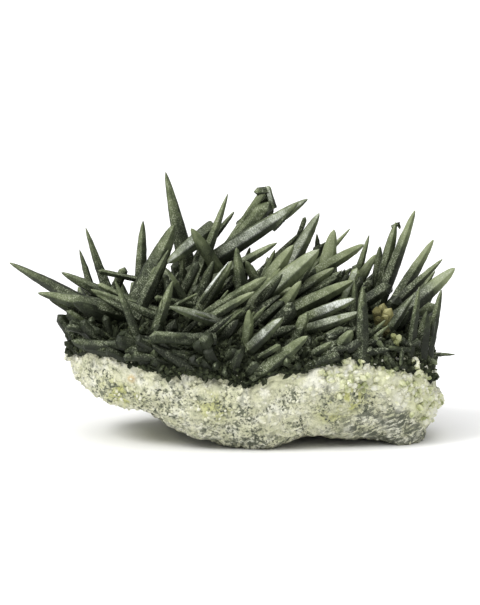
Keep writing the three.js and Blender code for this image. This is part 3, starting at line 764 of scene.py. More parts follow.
class Wire:
    """A node's output that takes part in Python arithmetic."""

    __add__ = math_method("ADD")
    __radd__ = math_method("ADD", reverse=True)
    __sub__ = math_method("SUBTRACT")
    __rsub__ = math_method("SUBTRACT", reverse=True)
    __mul__ = math_method("MULTIPLY")
    __rmul__ = math_method("MULTIPLY", reverse=True)

    def __init__(self, bench: Bench, socket: bpy.types.NodeSocket) -> None:
        """Keeps the socket and the bench that adds its nodes."""
        self.bench = bench
        self.socket = socket

    def step(self, low: float, high: float) -> Wire:
        """A soft step from 0 at low to 1 at high."""
        ends = {"Value": self, "From Min": low, "From Max": high, "To Min": 0.0, "To Max": 1.0}
        return self.bench.node("ShaderNodeMapRange", {"interpolation_type": "SMOOTHSTEP"}, ends)


class Bench:
    """A node tree and the nodes that are added to it."""

    def __init__(self, tree: bpy.types.NodeTree) -> None:
        """Empties the tree."""
        self.tree = tree
        tree.nodes.clear()

    def node(
        self,
        kind: str,
        settings: dict[str, object] | None = None,
        values: dict[str | int, object] | None = None,
        output: str | int = 0,
    ) -> Wire:
        """Adds one node.

        Args:
            kind: the node's type.
            settings: its own settings, set first, with a ramp's stops under "stops".
            values: numbers, colours or wires for its sockets.
            output: which of its outputs to return.

        Returns:
            The output as a wire.
        """
        made = self.tree.nodes.new(kind)
        for name, value in (settings or {}).items():
            if name == "stops":
                self._set_stops(made.color_ramp, value)
            else:
                setattr(made, name, value)
        for name, value in (values or {}).items():
            if isinstance(value, Wire):
                self.tree.links.new(value.socket, made.inputs[name])
            else:
                made.inputs[name].default_value = value
        return Wire(self, made.outputs[output]) if made.outputs else Wire(self, None)

    @staticmethod
    def _set_stops(ramp: bpy.types.ColorRamp, stops: Iterable[tuple[float, Colour]]) -> None:
        """Gives a ramp its stops.

        Args:
            ramp: the ramp.
            stops: each stop's position and colour.
        """
        stops = list(stops)
        while len(ramp.elements) < len(stops):
            ramp.elements.new(1.0)
        for element, (position, colour) in zip(ramp.elements, stops, strict=True):
            element.position = position
            element.color = (*colour, 1.0)

    def blend(self, share: Wire | float, first: Wire | Colour, second: Wire | Colour) -> Wire:
        """The first colour, going over to the second by a share.

        Args:
            share: how much of the second colour there is.
            first: the colour at share 0.
            second: the colour at share 1.

        Returns:
            The blended colour.
        """
        ends = [(*end, 1.0) if isinstance(end, tuple) else end for end in (first, second)]
        values = {0: share, 6: ends[0], 7: ends[1]}
        return self.node("ShaderNodeMix", {"data_type": "RGBA"}, values, 2)

    def mark(self, name: str) -> Wire:
        """One of the mesh's named numbers."""
        return self.node("ShaderNodeAttribute", {"attribute_name": name}, None, "Fac")

    def place(self) -> Wire:
        """Where the shaded point is on the object."""
        return self.node("ShaderNodeTexCoord", None, None, "Object")

    def grain(self, place: Wire, size: float, detail: float = 2.0, rough: float = 0.5) -> Wire:
        """Noise from 0 to 1 with lumps of a size in millimetres."""
        values = {"Vector": place, "Scale": PER_MM / size, "Detail": detail, "Roughness": rough}
        return self.node("ShaderNodeTexNoise", None, values, "Fac")

    def cells(self, place: Wire, size: float, output: str = "Distance") -> Wire:
        """Rounded cells of a size in millimetres."""
        return self.node("ShaderNodeTexVoronoi", None, {"Vector": place, "Scale": PER_MM / size}, output)


def new_material(name: str) -> tuple[bpy.types.Material, Bench]:
    """A material with an empty tree, and the bench that fills it.

    Args:
        name: the material's name.

    Returns:
        The material and its bench.
    """
    material = bpy.data.materials.new(name)
    material.use_nodes = True
    return material, Bench(material.node_tree)


def finish_surface(
    bench: Bench, values: dict[str, object], height: Wire, depth: float, strength: float
) -> None:
    """Adds the surface shader with a bump, and the output.

    Args:
        bench: the material's bench.
        values: what the shader's sockets get.
        height: the bump's height.
        depth: the bump's depth in millimetres.
        strength: how strong the bump is.
    """
    bump = bench.node(
        "ShaderNodeBump", None, {"Height": height, "Distance": depth * MM, "Strength": strength}, "Normal"
    )
    shader = bench.node("ShaderNodeBsdfPrincipled", None, {**values, "Normal": bump}, "BSDF")
    bench.node("ShaderNodeOutputMaterial", None, {"Surface": shader})


@dataclass(frozen=True)
class CrystalFinish:
    """Quartz under a fine gritty coat of chlorite, paler towards its tips partly as painted glow, with
    painted light and shade on its sides and painted highlights on chosen faces.
    """

    name: str
    deep: Colour = (0.011, 0.0145, 0.007)
    body: Colour = (0.027, 0.035, 0.0165)
    light: Colour = (0.095, 0.116, 0.055)
    tip: Colour = (0.228, 0.262, 0.136)
    pit: Colour = (0.007, 0.009, 0.0045)
    dust_and_light_colour: Colour = (0.34, 0.37, 0.26)
    painted_reflection: Colour = (0.68, 0.71, 0.67)
    roughness: float = 0.4
    sheen: float = 0.22

    def material(self) -> bpy.types.Material:
        """Builds the material.

        Returns:
            The material.
        """
        material, bench = new_material(self.name)
        place = bench.place()
        paling, tone, gleam, facing_light = (bench.mark(name) for name in ("paling", "tone", "gleam", "facing_light"))
        mottle = bench.grain(place, 2.6, 3, 0.6)
        speck = bench.grain(place, 0.25, 2, 0.6)
        phase = bench.mark("along") * 15.0 + mottle * 9.0
        rings = bench.node("ShaderNodeMath", {"operation": "SINE"}, {0: phase})
        # Painted light and shade: sides that face the light are made lighter, the others darker.
        lit = facing_light.step(0.3, 0.85)
        shade = paling + tone * 0.56 + (mottle - 0.5) * 0.85 + (lit - 0.5) * 0.32 + 0.18 + rings * 0.012
        ramp = ((0.0, self.deep), (0.3, self.body), (0.62, self.light), (1.0, self.tip))
        colour = bench.node("ShaderNodeValToRGB", {"stops": ramp}, {"Fac": shade}, "Color")
        pits = bench.grain(place, 0.55, 3, 0.7).step(0.46, 0.34) * shade.step(0.72, 0.35) * 0.75
        colour = bench.blend(pits, colour, self.pit)
        # Pale chlorite specks, mostly on the faces towards the light: partly the real coat, partly painted
        # light.
        dust_and_light_mask = speck.step(0.5, 0.62) * (0.06 + 0.94 * lit) * (0.28 + 0.7 * mottle.step(0.42, 0.6))
        colour = bench.blend(dust_and_light_mask, colour, self.dust_and_light_colour)
        # Painted highlight: chosen faces are blended towards a pale reflection colour.
        painted_glint = (0.4 + 0.5 * speck.step(0.4, 0.62) + rings * 0.1) * (0.35 + 0.65 * mottle.step(0.38, 0.56))
        colour = bench.blend(gleam * painted_glint, colour, self.painted_reflection)
        rough = self.roughness + speck * 0.24 - gleam * 0.22
        values = {"Base Color": colour, "Roughness": rough, "IOR": 1.54, "Specular IOR Level": self.sheen}
        finish_surface(bench, values, speck + rings * 0.08, 0.12, 0.5)
        return material


@dataclass(frozen=True)
class RockFinish:
    """Pale granular rock with dark specks, green-yellow stains, grey layers low on the right, and painted
    shade low on its left front and underneath.
    """

    name: str
    speck: Colour = (0.042, 0.05, 0.032)
    grey: Colour = (0.155, 0.168, 0.112)
    pale: Colour = (0.52, 0.53, 0.36)
    cream: Colour = (0.67, 0.665, 0.49)
    white: Colour = (0.81, 0.805, 0.69)
    stain: Colour = (0.50, 0.51, 0.19)
    rust: Colour = (0.62, 0.40, 0.12)
    grey_layer_and_shade: Colour = (0.095, 0.105, 0.075)
    milk: Colour = (0.74, 0.75, 0.50)
    stains: tuple[Point, ...] = (
        (-24.4, -13.5, 11.0), (-20.6, -15.5, 9.0), (-3.4, -17.5, 9.6),
        (24.6, -16.0, 11.6), (20.0, -17.0, 8.0),
    )
    rust_spot: Point = (-20.0, -16.0, 14.6)

    @staticmethod
    def _near(bench: Bench, place: Wire, spot: Point, reach: float) -> Wire:
        """How near the shaded point is to a spot, from 0 at its reach to 1.

        Args:
            bench: the material's bench.
            place: where the shaded point is.
            spot: the middle of the spot, in millimetres.
            reach: how far the spot reaches, in millimetres.

        Returns:
            The nearness.
        """
        middle = tuple(c * MM for c in spot)
        away = bench.node("ShaderNodeVectorMath", {"operation": "DISTANCE"}, {0: place, 1: middle}, "Value")
        return (away * PER_MM).step(reach, 0.25 * reach)

    def material(self) -> bpy.types.Material:
        """Builds the material.

        Returns:
            The material.
        """
        material, bench = new_material(self.name)
        place = bench.place()
        wander = bench.grain(place, 8.0, 2)
        patch = bench.grain(place, 2.6, 3, 0.62)
        fleck = bench.grain(place, 1.25, 5, 0.76)
        dot = bench.grain(place, 0.55, 3, 0.6)
        across, up = (bench.node("ShaderNodeSeparateXYZ", None, {0: place}, axis) * PER_MM for axis in "XZ")
        stops = ((0.3, self.pale), (0.46, self.cream), (0.62, self.white))
        colour = bench.node("ShaderNodeValToRGB", {"stops": stops}, {"Fac": patch}, "Color")
        yellow = 0.16 * wander
        for spot in self.stains:
            yellow = yellow + self._near(bench, place, spot, 6.0) * patch.step(0.4, 0.56) * 0.8
        colour = bench.blend(yellow, colour, self.stain)
        drift = bench.grain(place, 5.5, 5, 0.72)
        upper = bench.mark("upper")
        peppered = 0.3 + 1.0 * drift.step(0.4, 0.58) + 0.16 * across.step(12.0, 30.0)
        peppered = peppered * (1.0 - 0.6 * upper)
        low_right = across.step(15.0, 25.0) * up.step(11.5, 6.5)
        peppered = peppered * (1.0 - 0.35 * low_right)
        colour = bench.blend(fleck.step(0.46, 0.58) * peppered * 0.95, colour, self.grey)
        colour = bench.blend(dot.step(0.53, 0.64) * peppered * 0.95, colour, self.speck)
        turned = {0: place, "Rotation": (0, -LAYER_RISE, 0), "Scale": (2.4, 1.0, 0.55)}
        along_layers = bench.node("ShaderNodeMapping", {"vector_type": "TEXTURE"}, turned)
        layered = bench.grain(along_layers, 1.1, 3, 0.6)
        broken = 0.5 + 0.5 * drift.step(0.4, 0.56)
        colour = bench.blend(layered.step(0.45, 0.55) * low_right * broken * 0.95, colour, self.grey_layer_and_shade)
        # Painted shade: darker flecks low on the left front and on the bottom, in the grey layers' colour.
        foot = across.step(12.0, -2.0) * up.step(8.5, 3.0)
        underside_shade = up.step(3.4, 0.4)
        colour = bench.blend((foot * 0.55 + underside_shade * 0.6) * fleck.step(0.38, 0.6), colour, self.grey_layer_and_shade)
        colour = bench.blend(self._near(bench, place, self.rust_spot, 1.4) * 0.6, colour, self.rust)
        milky = bench.mark("milky") * (0.45 + 0.5 * patch.step(0.3, 0.5))
        colour = bench.blend(milky, colour, bench.blend(wander.step(0.4, 0.6), self.white, self.milk))
        grains = bench.cells(place, 0.75)
        values = {"Base Color": colour, "Roughness": 0.62 + dot * 0.3, "IOR": 1.5}
        finish_surface(bench, values, dot * 0.5 - grains * 0.9, 0.35, 0.65)
        return material


@dataclass(frozen=True)
class GrainFinish:
    """Loose-looking mineral grains, each of one colour from a range."""

    name: str
    colours: tuple[tuple[float, Colour], ...]
    roughness: float = 0.5
    milky: float = 0.0
    patchy: float = 0.9

    def material(self) -> bpy.types.Material:
        """Builds the material.

        Returns:
            The material.
        """
        material, bench = new_material(self.name)
        place = bench.place()
        grit = bench.grain(place, 0.32, 3, 0.6)
        patch = bench.grain(place, 2.6, 2)
        tone = bench.mark("tone") * 0.5 + (patch - 0.25) * 1.1 * self.patchy + (grit - 0.5) * 0.12
        colour = bench.node("ShaderNodeValToRGB", {"stops": self.colours}, {"Fac": tone}, "Color")
        values = {"Base Color": colour, "Roughness": self.roughness + grit * 0.22, "IOR": 1.54}
        if self.milky:
            values |= {
                "Subsurface Weight": self.milky,
                "Subsurface Radius": (1.0, 1.0, 0.7),
                "Subsurface Scale": 0.5 * MM,
            }
        finish_surface(bench, values, grit, 0.12, 0.4)
        return material


@dataclass
class CrystalMesher:
    """Builds many crystals into one surface, each a closed six-sided prism with a point."""

    seed: int
    split: int = 4
    rings: int = 28
    grit: float = 0.03
    unevenness: float = 0.13
    corner_easing: float = 0.97
    stepping: float = 0.022
    chisel: float = 0.55
    sway: float = 0.005

    def __post_init__(self) -> None:
        """Starts an empty surface."""
        self.random = np.random.default_rng(self.seed)
        self.vertices: list[np.ndarray] = []
        self.faces: list[list[int]] = []
        self.marks: dict[str, list[np.ndarray]] = {}
        self.total = 0

    def _stations(self, crystal: Crystal, length: float) -> tuple[np.ndarray, np.ndarray]:
        """Where the rings stand along a crystal, and how wide it is there.

        Args:
            crystal: its habit and width.
            length: its length.

        Returns:
            The places from 0 at the foot to 1 at the tip, and the widths as shares of its width.
        """
        habit = crystal.habit
        fine = np.linspace(0, 1, 200)
        wide = 1 - STUB_TAPER * fine
        if habit.fullness < BLUNT_FULLNESS:
            wide = np.maximum(1 - fine**habit.fullness, 0) ** TAPER_POWER
        shoulder = int(np.argmax((1 - fine) * length <= habit.steepness * wide * crystal.width / 2))
        point = 3 if self.rings > 12 else 1
        body = np.linspace(0, fine[shoulder], self.rings - point + 1)
        shares = np.arange(1, point) / point
        places = np.concatenate((body, fine[shoulder] + (1 - fine[shoulder]) * shares))
        reach = np.concatenate((np.interp(body, fine, wide), wide[shoulder] * (1 - shares)))
        return places, reach

    def _ring(self, turn: float) -> np.ndarray:
        """The crystal's uneven six-sided section, with eased corners.

        Args:
            turn: the angle of its first corner, in degrees.

        Returns:
            Its points, as shares of the radius.
        """
        angles = np.radians(turn + 60 * np.arange(6))
        size = 1 + self.random.uniform(-self.unevenness, self.unevenness, 6)
        corners = np.stack((np.cos(angles) * size, np.sin(angles) * size), 1)
        share = (np.arange(self.split) / self.split)[None, :, None]
        ring = (corners[:, None] * (1 - share) + np.roll(corners, -1, 0)[:, None] * share).reshape(-1, 2)
        ring[:: self.split] *= self.corner_easing
        return ring

    def add(self, crystal: Crystal, order: int) -> None:
        """Adds one crystal.

        Args:
            crystal: its ends, width and looks.
            order: its number, which turns it where it has no turn of its own.
        """
        tip, foot = placed(crystal.tip), placed(crystal.foot)
        length = float(np.linalg.norm(tip - foot))
        axis = (tip - foot) / length
        across = np.cross((0.0, 1.0, 0.0), axis)
        if np.linalg.norm(across) < 0.2:
            across = np.cross((1.0, 0.0, 0.0), axis)
        across = unit(across)
        depth = np.cross(axis, across)
        radius = crystal.width / 2
        t, reach = self._stations(crystal, length)
        ring = self._ring(order * GOLDEN_ANGLE if crystal.turn is None else crystal.turn)
        count = len(ring)
        steps = self.random.normal(0, self.stepping, (len(t), 6))
        steps = np.repeat((steps + np.roll(steps, 1, 0)) / 2, self.split, 1)
        grit = self.random.normal(0, self.grit / radius, (len(t), count))
        size = reach[:, None] * (1 + steps) + grit * np.minimum(1, 2 * reach)[:, None]
        sideways = ring[None, :, 0] * size * radius
        inward = ring[None, :, 1] * size * radius * crystal.habit.flatness
        slant = self.random.uniform(-1, 1, 2)
        chisel = (ring @ slant)[None] * (reach * radius * t**6)[:, None] * self.chisel
        bow = np.sin(np.pi * t) * length
        sway = self.random.normal(0, self.sway, 2)
        middle = foot + axis * (t * length)[:, None] + (across * sway[0] + depth * sway[1]) * bow[:, None]
        points = middle[:, None] + sideways[..., None] * across + inward[..., None] * depth
        points = points + chisel[..., None] * axis
        points[..., 1] = np.clip(points[..., 1], *DEPTH_ENDS)
        # How much each side faces the light, which the material uses to paint light and shade.
        corners = ring[:: self.split]
        outward = corners + np.roll(corners, -1, 0)
        outward = outward / np.linalg.norm(outward, axis=1, keepdims=True)
        sides = (outward[:, 0:1] * across + outward[:, 1:2] * depth) @ LIT_SIDE
        self._add_faces(len(t), count)
        self.vertices.append(np.concatenate((points.reshape(-1, 3), tip[None], middle[:1])))
        self._add_marks(crystal, t, length, sides)

    def _add_faces(self, rows: int, count: int) -> None:
        """Adds the faces through rings of so many points each, a tip and the middle of a foot.

        Args:
            rows: how many rings there are.
            count: how many points each ring has.
        """
        start = self.total
        k = np.arange(count)
        after = (k + 1) % count
        for low in range(start, start + (rows - 1) * count, count):
            high = low + count
            self.faces.extend(np.stack((low + k, low + after, high + after, high + k), 1).tolist())
        last, end = start + (rows - 1) * count, start + rows * count
        self.faces.extend(np.stack((last + k, last + after, np.full(count, end)), 1).tolist())
        self.faces.extend(np.stack((np.full(count, end + 1), start + after, start + k), 1).tolist())

    def _add_marks(self, crystal: Crystal, t: np.ndarray, length: float, sides: np.ndarray) -> None:
        """Adds the marks of one crystal's vertices.

        Args:
            crystal: its looks.
            t: how far along the crystal each ring is, from 0 to 1.
            length: its length.
            sides: how much each of its sides faces the light.
        """
        count = len(sides) * self.split
        growth = np.concatenate((np.repeat(t, count), (1.0, 0.0)))
        faced = np.repeat(sides, self.split)
        faced[:: self.split] = (sides + np.roll(sides, 1)) / 2
        # Painted highlight, put on the side that faces the light most.
        gleam = np.zeros(len(growth))
        if crystal.gleam:
            lit = (int(np.argmax(sides)) * self.split + np.arange(self.split + 1)) % count
            strength = crystal.gleam * slope(t, 0.2, 0.35)
            gleam[np.arange(len(t))[:, None] * count + lit] = strength[:, None]
        fading = slope(growth, 0.56, 0.26)
        values = {
            "paling": crystal.paling * (0.4 * growth**2 + 0.6 * fading**2 * (3 - 2 * fading)),
            "tone": np.full(len(growth), crystal.tone),
            "gleam": gleam,
            "along": growth * length,
            "facing_light": np.concatenate((np.tile(faced, len(t)), (0.5, 0.0))),
        }
        for name, value in values.items():
            self.marks.setdefault(name, []).append(value)
        self.total += len(growth)

    def add_all(self, crystals: Iterable[Crystal]) -> CrystalMesher:
        """Adds crystals in order, and returns the mesher.

        Args:
            crystals: the crystals.

        Returns:
            The mesher itself.
        """
        for order, crystal in enumerate(crystals):
            self.add(crystal, order)
        return self

    def surface(self) -> Surface:
        """Everything that was added, as one surface."""
        marks = {name: np.concatenate(values) for name, values in self.marks.items()}
        return Surface(np.concatenate(self.vertices), self.faces, marks)

    def piece(self, name: str, node: str, material: bpy.types.Material) -> None:
        """Makes everything that was added into a piece that stands for a node."""
        settle(self.surface().as_object(name, material, CRYSTAL_CREASE), node)


class Form(Enum):
    """What is scattered over a surface."""

    NEEDLE = "needle"
    GRAIN = "grain"


@dataclass(frozen=True)
class Scatter:
    """Small pieces strewn over the part of a surface that a mark names."""

    name: str
    form: Form
    mark: str
    density: float
    least: Point
    most: Point
    tilt: float
    seed: int
    crease: float = 20.0

    def _shape(self) -> bpy.types.Object:
        """One piece to copy, a millimetre wide and high.

        Returns:
            The shape, as an object.
        """
        plain, _ = new_material(f"{self.name}_shape")
        if self.form is Form.NEEDLE:
            mesher = CrystalMesher(self.seed, split=1, rings=3, grit=0.0)
            mesher.add(Crystal(Habit.STUB, (0, 1, 0), (0, 0, 0), 1.0, 30), 0)
            return mesher.surface().as_object(f"{self.name}_shape", plain, 25)
        golden = (1 + math.sqrt(5)) / 2
        corners = np.array([(0, a, b * golden) for a in (-1, 1) for b in (-1, 1)], float)
        corners = np.concatenate([np.roll(corners, turn, 1) for turn in range(3)])
        corners /= 2 * np.linalg.norm(corners[0])
        side = min(np.linalg.norm(corners[0] - c) for c in corners[1:]) * 1.05
        faces = []
        for i, j, k in combinations(range(len(corners)), 3):
            a, b, c = corners[[i, j, k]]
            if max(np.linalg.norm(p - q) for p, q in combinations((a, b, c), 2)) < side:
                faces.append((i, j, k) if np.cross(b - a, c - a) @ a > 0 else (i, k, j))
        return Surface(corners, faces).as_object(f"{self.name}_shape", plain, self.crease)

    def _tree(self, shape: bpy.types.Object, material: bpy.types.Material) -> bpy.types.NodeTree:
        """The node tree that strews the pieces.

        Args:
            shape: the object to copy.
            material: the material of the copies.

        Returns:
            The tree.
        """
        tree = bpy.data.node_groups.new(self.name, "GeometryNodeTree")
        bench = Bench(tree)
        tree.interface.new_socket("Surface", in_out="INPUT", socket_type="NodeSocketGeometry")
        for label in ("Density", "Tilt"):
            tree.interface.new_socket(label, in_out="INPUT", socket_type="NodeSocketFloat")
        for label in ("Least", "Most"):
            tree.interface.new_socket(label, in_out="INPUT", socket_type="NodeSocketVector")
        tree.interface.new_socket("Pieces", in_out="OUTPUT", socket_type="NodeSocketGeometry")
        taken = tree.nodes.new("NodeGroupInput")
        given = {socket.name: Wire(bench, socket) for socket in taken.outputs if socket.name}
        mark = bench.node("GeometryNodeInputNamedAttribute", {"data_type": "FLOAT"}, {"Name": self.mark})
        dense = mark * given["Density"]
        spots = {"Mesh": given["Surface"], "Density": dense, "Seed": self.seed}
        points = bench.node("GeometryNodeDistributePointsOnFaces", None, spots)
        aligned = Wire(bench, points.socket.node.outputs["Rotation"])
        turning = {"data_type": "FLOAT_VECTOR"}
        tip = bench.node("ShaderNodeCombineXYZ", None, {0: given["Tilt"], 1: given["Tilt"], 2: math.pi})
        back = bench.node("ShaderNodeVectorMath", {"operation": "SCALE"}, {0: tip, "Scale": -1.0})
        turns = bench.node("FunctionNodeRandomValue", turning, {0: back, 1: tip, "Seed": self.seed + 1})
        spin = bench.node("FunctionNodeEulerToRotation", None, {0: turns})
        local = {"rotation_space": "LOCAL"}
        turned = bench.node("FunctionNodeRotateRotation", local, {0: aligned, 1: spin})
        sizes = {0: given["Least"], 1: given["Most"], "Seed": self.seed + 2}
        size = bench.node("FunctionNodeRandomValue", turning, sizes)
        copied = bench.node("GeometryNodeObjectInfo", None, {"Object": shape}, "Geometry")
        copies = {"Points": points, "Instance": copied, "Rotation": turned, "Scale": size}
        placed_copies = bench.node("GeometryNodeInstanceOnPoints", None, copies)
        shade = bench.node("FunctionNodeRandomValue", {"data_type": "FLOAT"}, {"Seed": self.seed + 3}, 1)
        kept = {"Geometry": placed_copies, "Name": "tone", "Value": shade}
        per_copy = {"data_type": "FLOAT", "domain": "INSTANCE"}
        toned = bench.node("GeometryNodeStoreNamedAttribute", per_copy, kept)
        real = bench.node("GeometryNodeRealizeInstances", None, {"Geometry": toned})
        dressed = bench.node("GeometryNodeSetMaterial", None, {"Geometry": real, "Material": material})
        bench.node("NodeGroupOutput", None, {"Pieces": dressed})
        return tree

    def over(self, surface: bpy.types.Object, material: bpy.types.Material) -> bpy.types.Object:
        """Strews the pieces over a surface.

        Args:
            surface: the object that carries them.
            material: their material.

        Returns:
            A new object that holds only the pieces.
        """
        shape = self._shape()
        tree = self._tree(shape, material)
        modifier = surface.modifiers.new(self.name, "NODES")
        modifier.node_group = tree
        sizes = {
            "Density": self.density * PER_MM**2,
            "Tilt": self.tilt,
            "Least": tuple(self.least),
            "Most": tuple(self.most),
        }
        for socket in tree.interface.items_tree:
            if socket.in_out == "INPUT" and socket.name in sizes:
                modifier[socket.identifier] = sizes[socket.name]
        surface.update_tag()
        bpy.context.view_layer.update()
        depsgraph = bpy.context.evaluated_depsgraph_get()
        mesh = bpy.data.meshes.new_from_object(
            surface.evaluated_get(depsgraph), preserve_all_data_layers=True, depsgraph=depsgraph
        )
        mesh.name = self.name
        surface.modifiers.remove(modifier)
        bpy.data.objects.remove(shape)
        made = bpy.data.objects.new(self.name, mesh)
        bpy.context.scene.collection.objects.link(made)
        return made


def settle(piece: bpy.types.Object, node: str) -> None:
    """Makes a piece stand for a node of the frame in place of its part, which is hidden, and ride on its
    body.

    Args:
        piece: the finished object.
        node: the node's name in the frame.
    """
    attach(piece, "root")
    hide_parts(node)
    triangles = sum(len(polygon.vertices) - 2 for polygon in piece.data.polygons)
    LOG.info("%s stands for %s with %d triangles", piece.name, node, triangles)


def milky_quartz(name: str) -> bpy.types.Material:
    """The material of the milky and yellowish quartz grains.

    Args:
        name: the material's name.

    Returns:
        The material.
    """
    colours = (
        (0.1, (0.24, 0.27, 0.11)), (0.24, (0.55, 0.575, 0.33)), (0.46, (0.68, 0.685, 0.50)),
        (0.7, (0.74, 0.74, 0.63)), (1.0, (0.70, 0.69, 0.52)),
    )
    return GrainFinish(name, colours, 0.2, 0.3, 1.1).material()


@dataclass
class HostRock:
    """The pale granular rock that carries the crystals."""

    node: str = "matrix_rock"
    stations: int = 250
    steps: tuple[int, ...] = (62, 54, 12, 6, 6, 12, 44, 46, 26, 26)
    lump: float = 0.75
    grain_depth: float = 0.17
    quartz_from: float = 14.5
    quartz_depth: float = 6.6
    end_bulge: float = 0.9
    finish: RockFinish = field(default_factory=lambda: RockFinish("speckled_rock"))

    def _outline(self, x: float) -> np.ndarray:
        """The rock's section at x as depth and height, from its front foot round over its top.

        Args:
            x: where the section is.

        Returns:
            Its corners, one per row.
        """
        front_low, back_low, rim, crown, front, back = section_at(x)
        shoulder = rim + (crown - rim) * 0.6
        return np.array(
            (
                (front * 0.68, front_low),
                (front * 0.96, front_low + (rim - front_low) * 0.45),
                (front, rim - 0.5),
                (front * 0.7, shoulder),
                (0, crown),
                (back * 0.7, shoulder),
                (back, rim - 0.8),
                (back * 0.97, back_low + (rim - back_low) * 0.45),
                (back * 0.7, back_low),
                (0, (front_low + back_low) / 2),
            )
        )

    def _relief(self, points: np.ndarray) -> np.ndarray:
        """How far the broken, granular surface stands out at each point.

        Args:
            points: one point per row.

        Returns:
            One height per point.
        """
        middle, seam = cells_at(points, 5.2)
        relief = self.lump * (noise_at(points, 9.0) + 0.5 * noise_at(points, 4.0, 7.0))
        relief += 0.55 * (0.45 - middle) - 0.4 * np.exp(-seam * 9)
        relief += 0.28 * noise_at(points, 1.7, 3.0)
        grain, _ = cells_at(points, 0.95)
        relief += self.grain_depth * (1 - 1.9 * grain)
        x, y, z = points.T
        along = x * math.cos(LAYER_RISE) + z * math.sin(LAYER_RISE)
        through = z * math.cos(LAYER_RISE) - x * math.sin(LAYER_RISE)
        layers = noise_at(np.stack((along / 3.3, y, through / 0.5), 1), 1.1, 11.0)
        low_right = slope(x, 17, 7) * slope(z, 11, -4) * (y < 0)
        lumps, _ = cells_at(points, 1.8)
        return relief + 0.32 * layers * low_right + 0.75 * (0.5 - lumps) * self._quartz_share(points)

    def _quartz_share(self, points: np.ndarray) -> np.ndarray:
        """How thickly the milky rim covers each point, from 0 to 1.

        Args:
            points: one point per row.

        Returns:
            One share per point.
        """
        x, y, z = points.T
        down = rim_at(x) - z + 0.9 * np.sin(x * 1.1) + 1.6 * noise_at(points, 3.2, 5.0)
        reach = self.quartz_depth + 4 * slope(x, 32, 4)
        return slope(x, self.quartz_from, 4) * slope(down, reach, -3) * (y < 0)

    @staticmethod
    def _milky_share(points: np.ndarray) -> np.ndarray:
        """How white a narrow band below the middle crystals is at each point, from 0 to 1.

        Args:
            points: one point per row.

        Returns:
            One share per point.
        """
        x, y, z = points.T
        down = rim_at(x) - z + 1.4 * noise_at(points, 2.6, 13.0)
        return 0.8 * slope(x, 3, 4) * slope(down, 3.6, -1.6) * (y < 0)

    def _surface(self) -> Surface:
        """The rock's surface, with its bare and quartz-covered places marked.

        Returns:
            The surface.
        """
        ends = ROCK_SECTIONS[0, 0], ROCK_SECTIONS[-1, 0]
        stations = np.linspace(*ends, self.stations)
        grid = with_rounded_ends(swept(self._outline, stations, self.steps), self.end_bulge)
        normals = outward_normals(grid)
        flat = grid.reshape(-1, 3)
        relief = self._relief(flat).reshape(grid.shape[:2])
        grid = grid + normals * relief[..., None]
        grid[..., 2] = np.maximum(grid[..., 2], 0)
        vertices, faces = loft(grid)
        starts = np.cumsum((0, *self.steps))
        k = np.arange(grid.shape[1])
        bare = np.where((k < starts[2] + 4) | (k > starts[6] - 4), 1.0, 0.0)
        marks = {"bare": np.append(np.tile(bare, grid.shape[0]), (0, 0))}
        marks["bare"] *= vertices[:, 2] > 0.35
        marks["quartz"] = self._quartz_share(vertices) * marks["bare"]
        marks["milky"] = np.maximum(marks["quartz"], self._milky_share(vertices) * marks["bare"])
        x, _, z = vertices.T
        marks["upper"] = np.clip(1 - (rim_at(x) - z + 1.5 * noise_at(vertices, 3.0, 9.0)) / 4.5, 0, 1)
        marks["loose"] = marks["bare"] * np.clip((z - 6) / 5 + (x < 14), 0.06, 1)
        return Surface(vertices, faces, marks)

    def build(self) -> None:
        """Makes the rock, its loose grains and the quartz rim."""
        rock = self._surface().as_object("host_rock", self.finish.material(), 75)
        colours = (
            (0.0, self.finish.speck), (0.08, self.finish.grey), (0.2, self.finish.pale),
            (0.5, self.finish.cream), (0.85, self.finish.white), (1.0, (0.72, 0.73, 0.42)),
        )
        grains = GrainFinish("rock_grain", colours, 0.6)
        least, most = (0.4, 0.4, 0.3), (1.1, 0.95, 0.7)
        strewn = Scatter("rock_grains", Form.GRAIN, "loose", 0.4, least, most, 0.6, 41, crease=50)
        settle(strewn.over(rock, grains.material()), self.node)
        self._quartz_rim(rock)
        settle(rock, self.node)

    @staticmethod
    def _quartz_rim(rock: bpy.types.Object) -> None:
        """Makes the rim of milky quartz grains and stubby points.

        Args:
            rock: the rock's object, which carries the mark.
        """
        milky = milky_quartz("milky_quartz")
        for name, form, density, least, most, tilt, seed in (
            ("quartz_lumps", Form.GRAIN, 0.5, (0.6, 0.6, 0.5), (2.3, 2.0, 1.7), 0.8, 57),
            ("quartz_points", Form.NEEDLE, 0.25, (0.9, 0.9, 0.8), (1.7, 1.6, 1.7), 0.9, 63),
        ):
            scatter = Scatter(name, form, "quartz", density, least, most, tilt, seed)
            settle(scatter.over(rock, milky), QUARTZ_NODE)


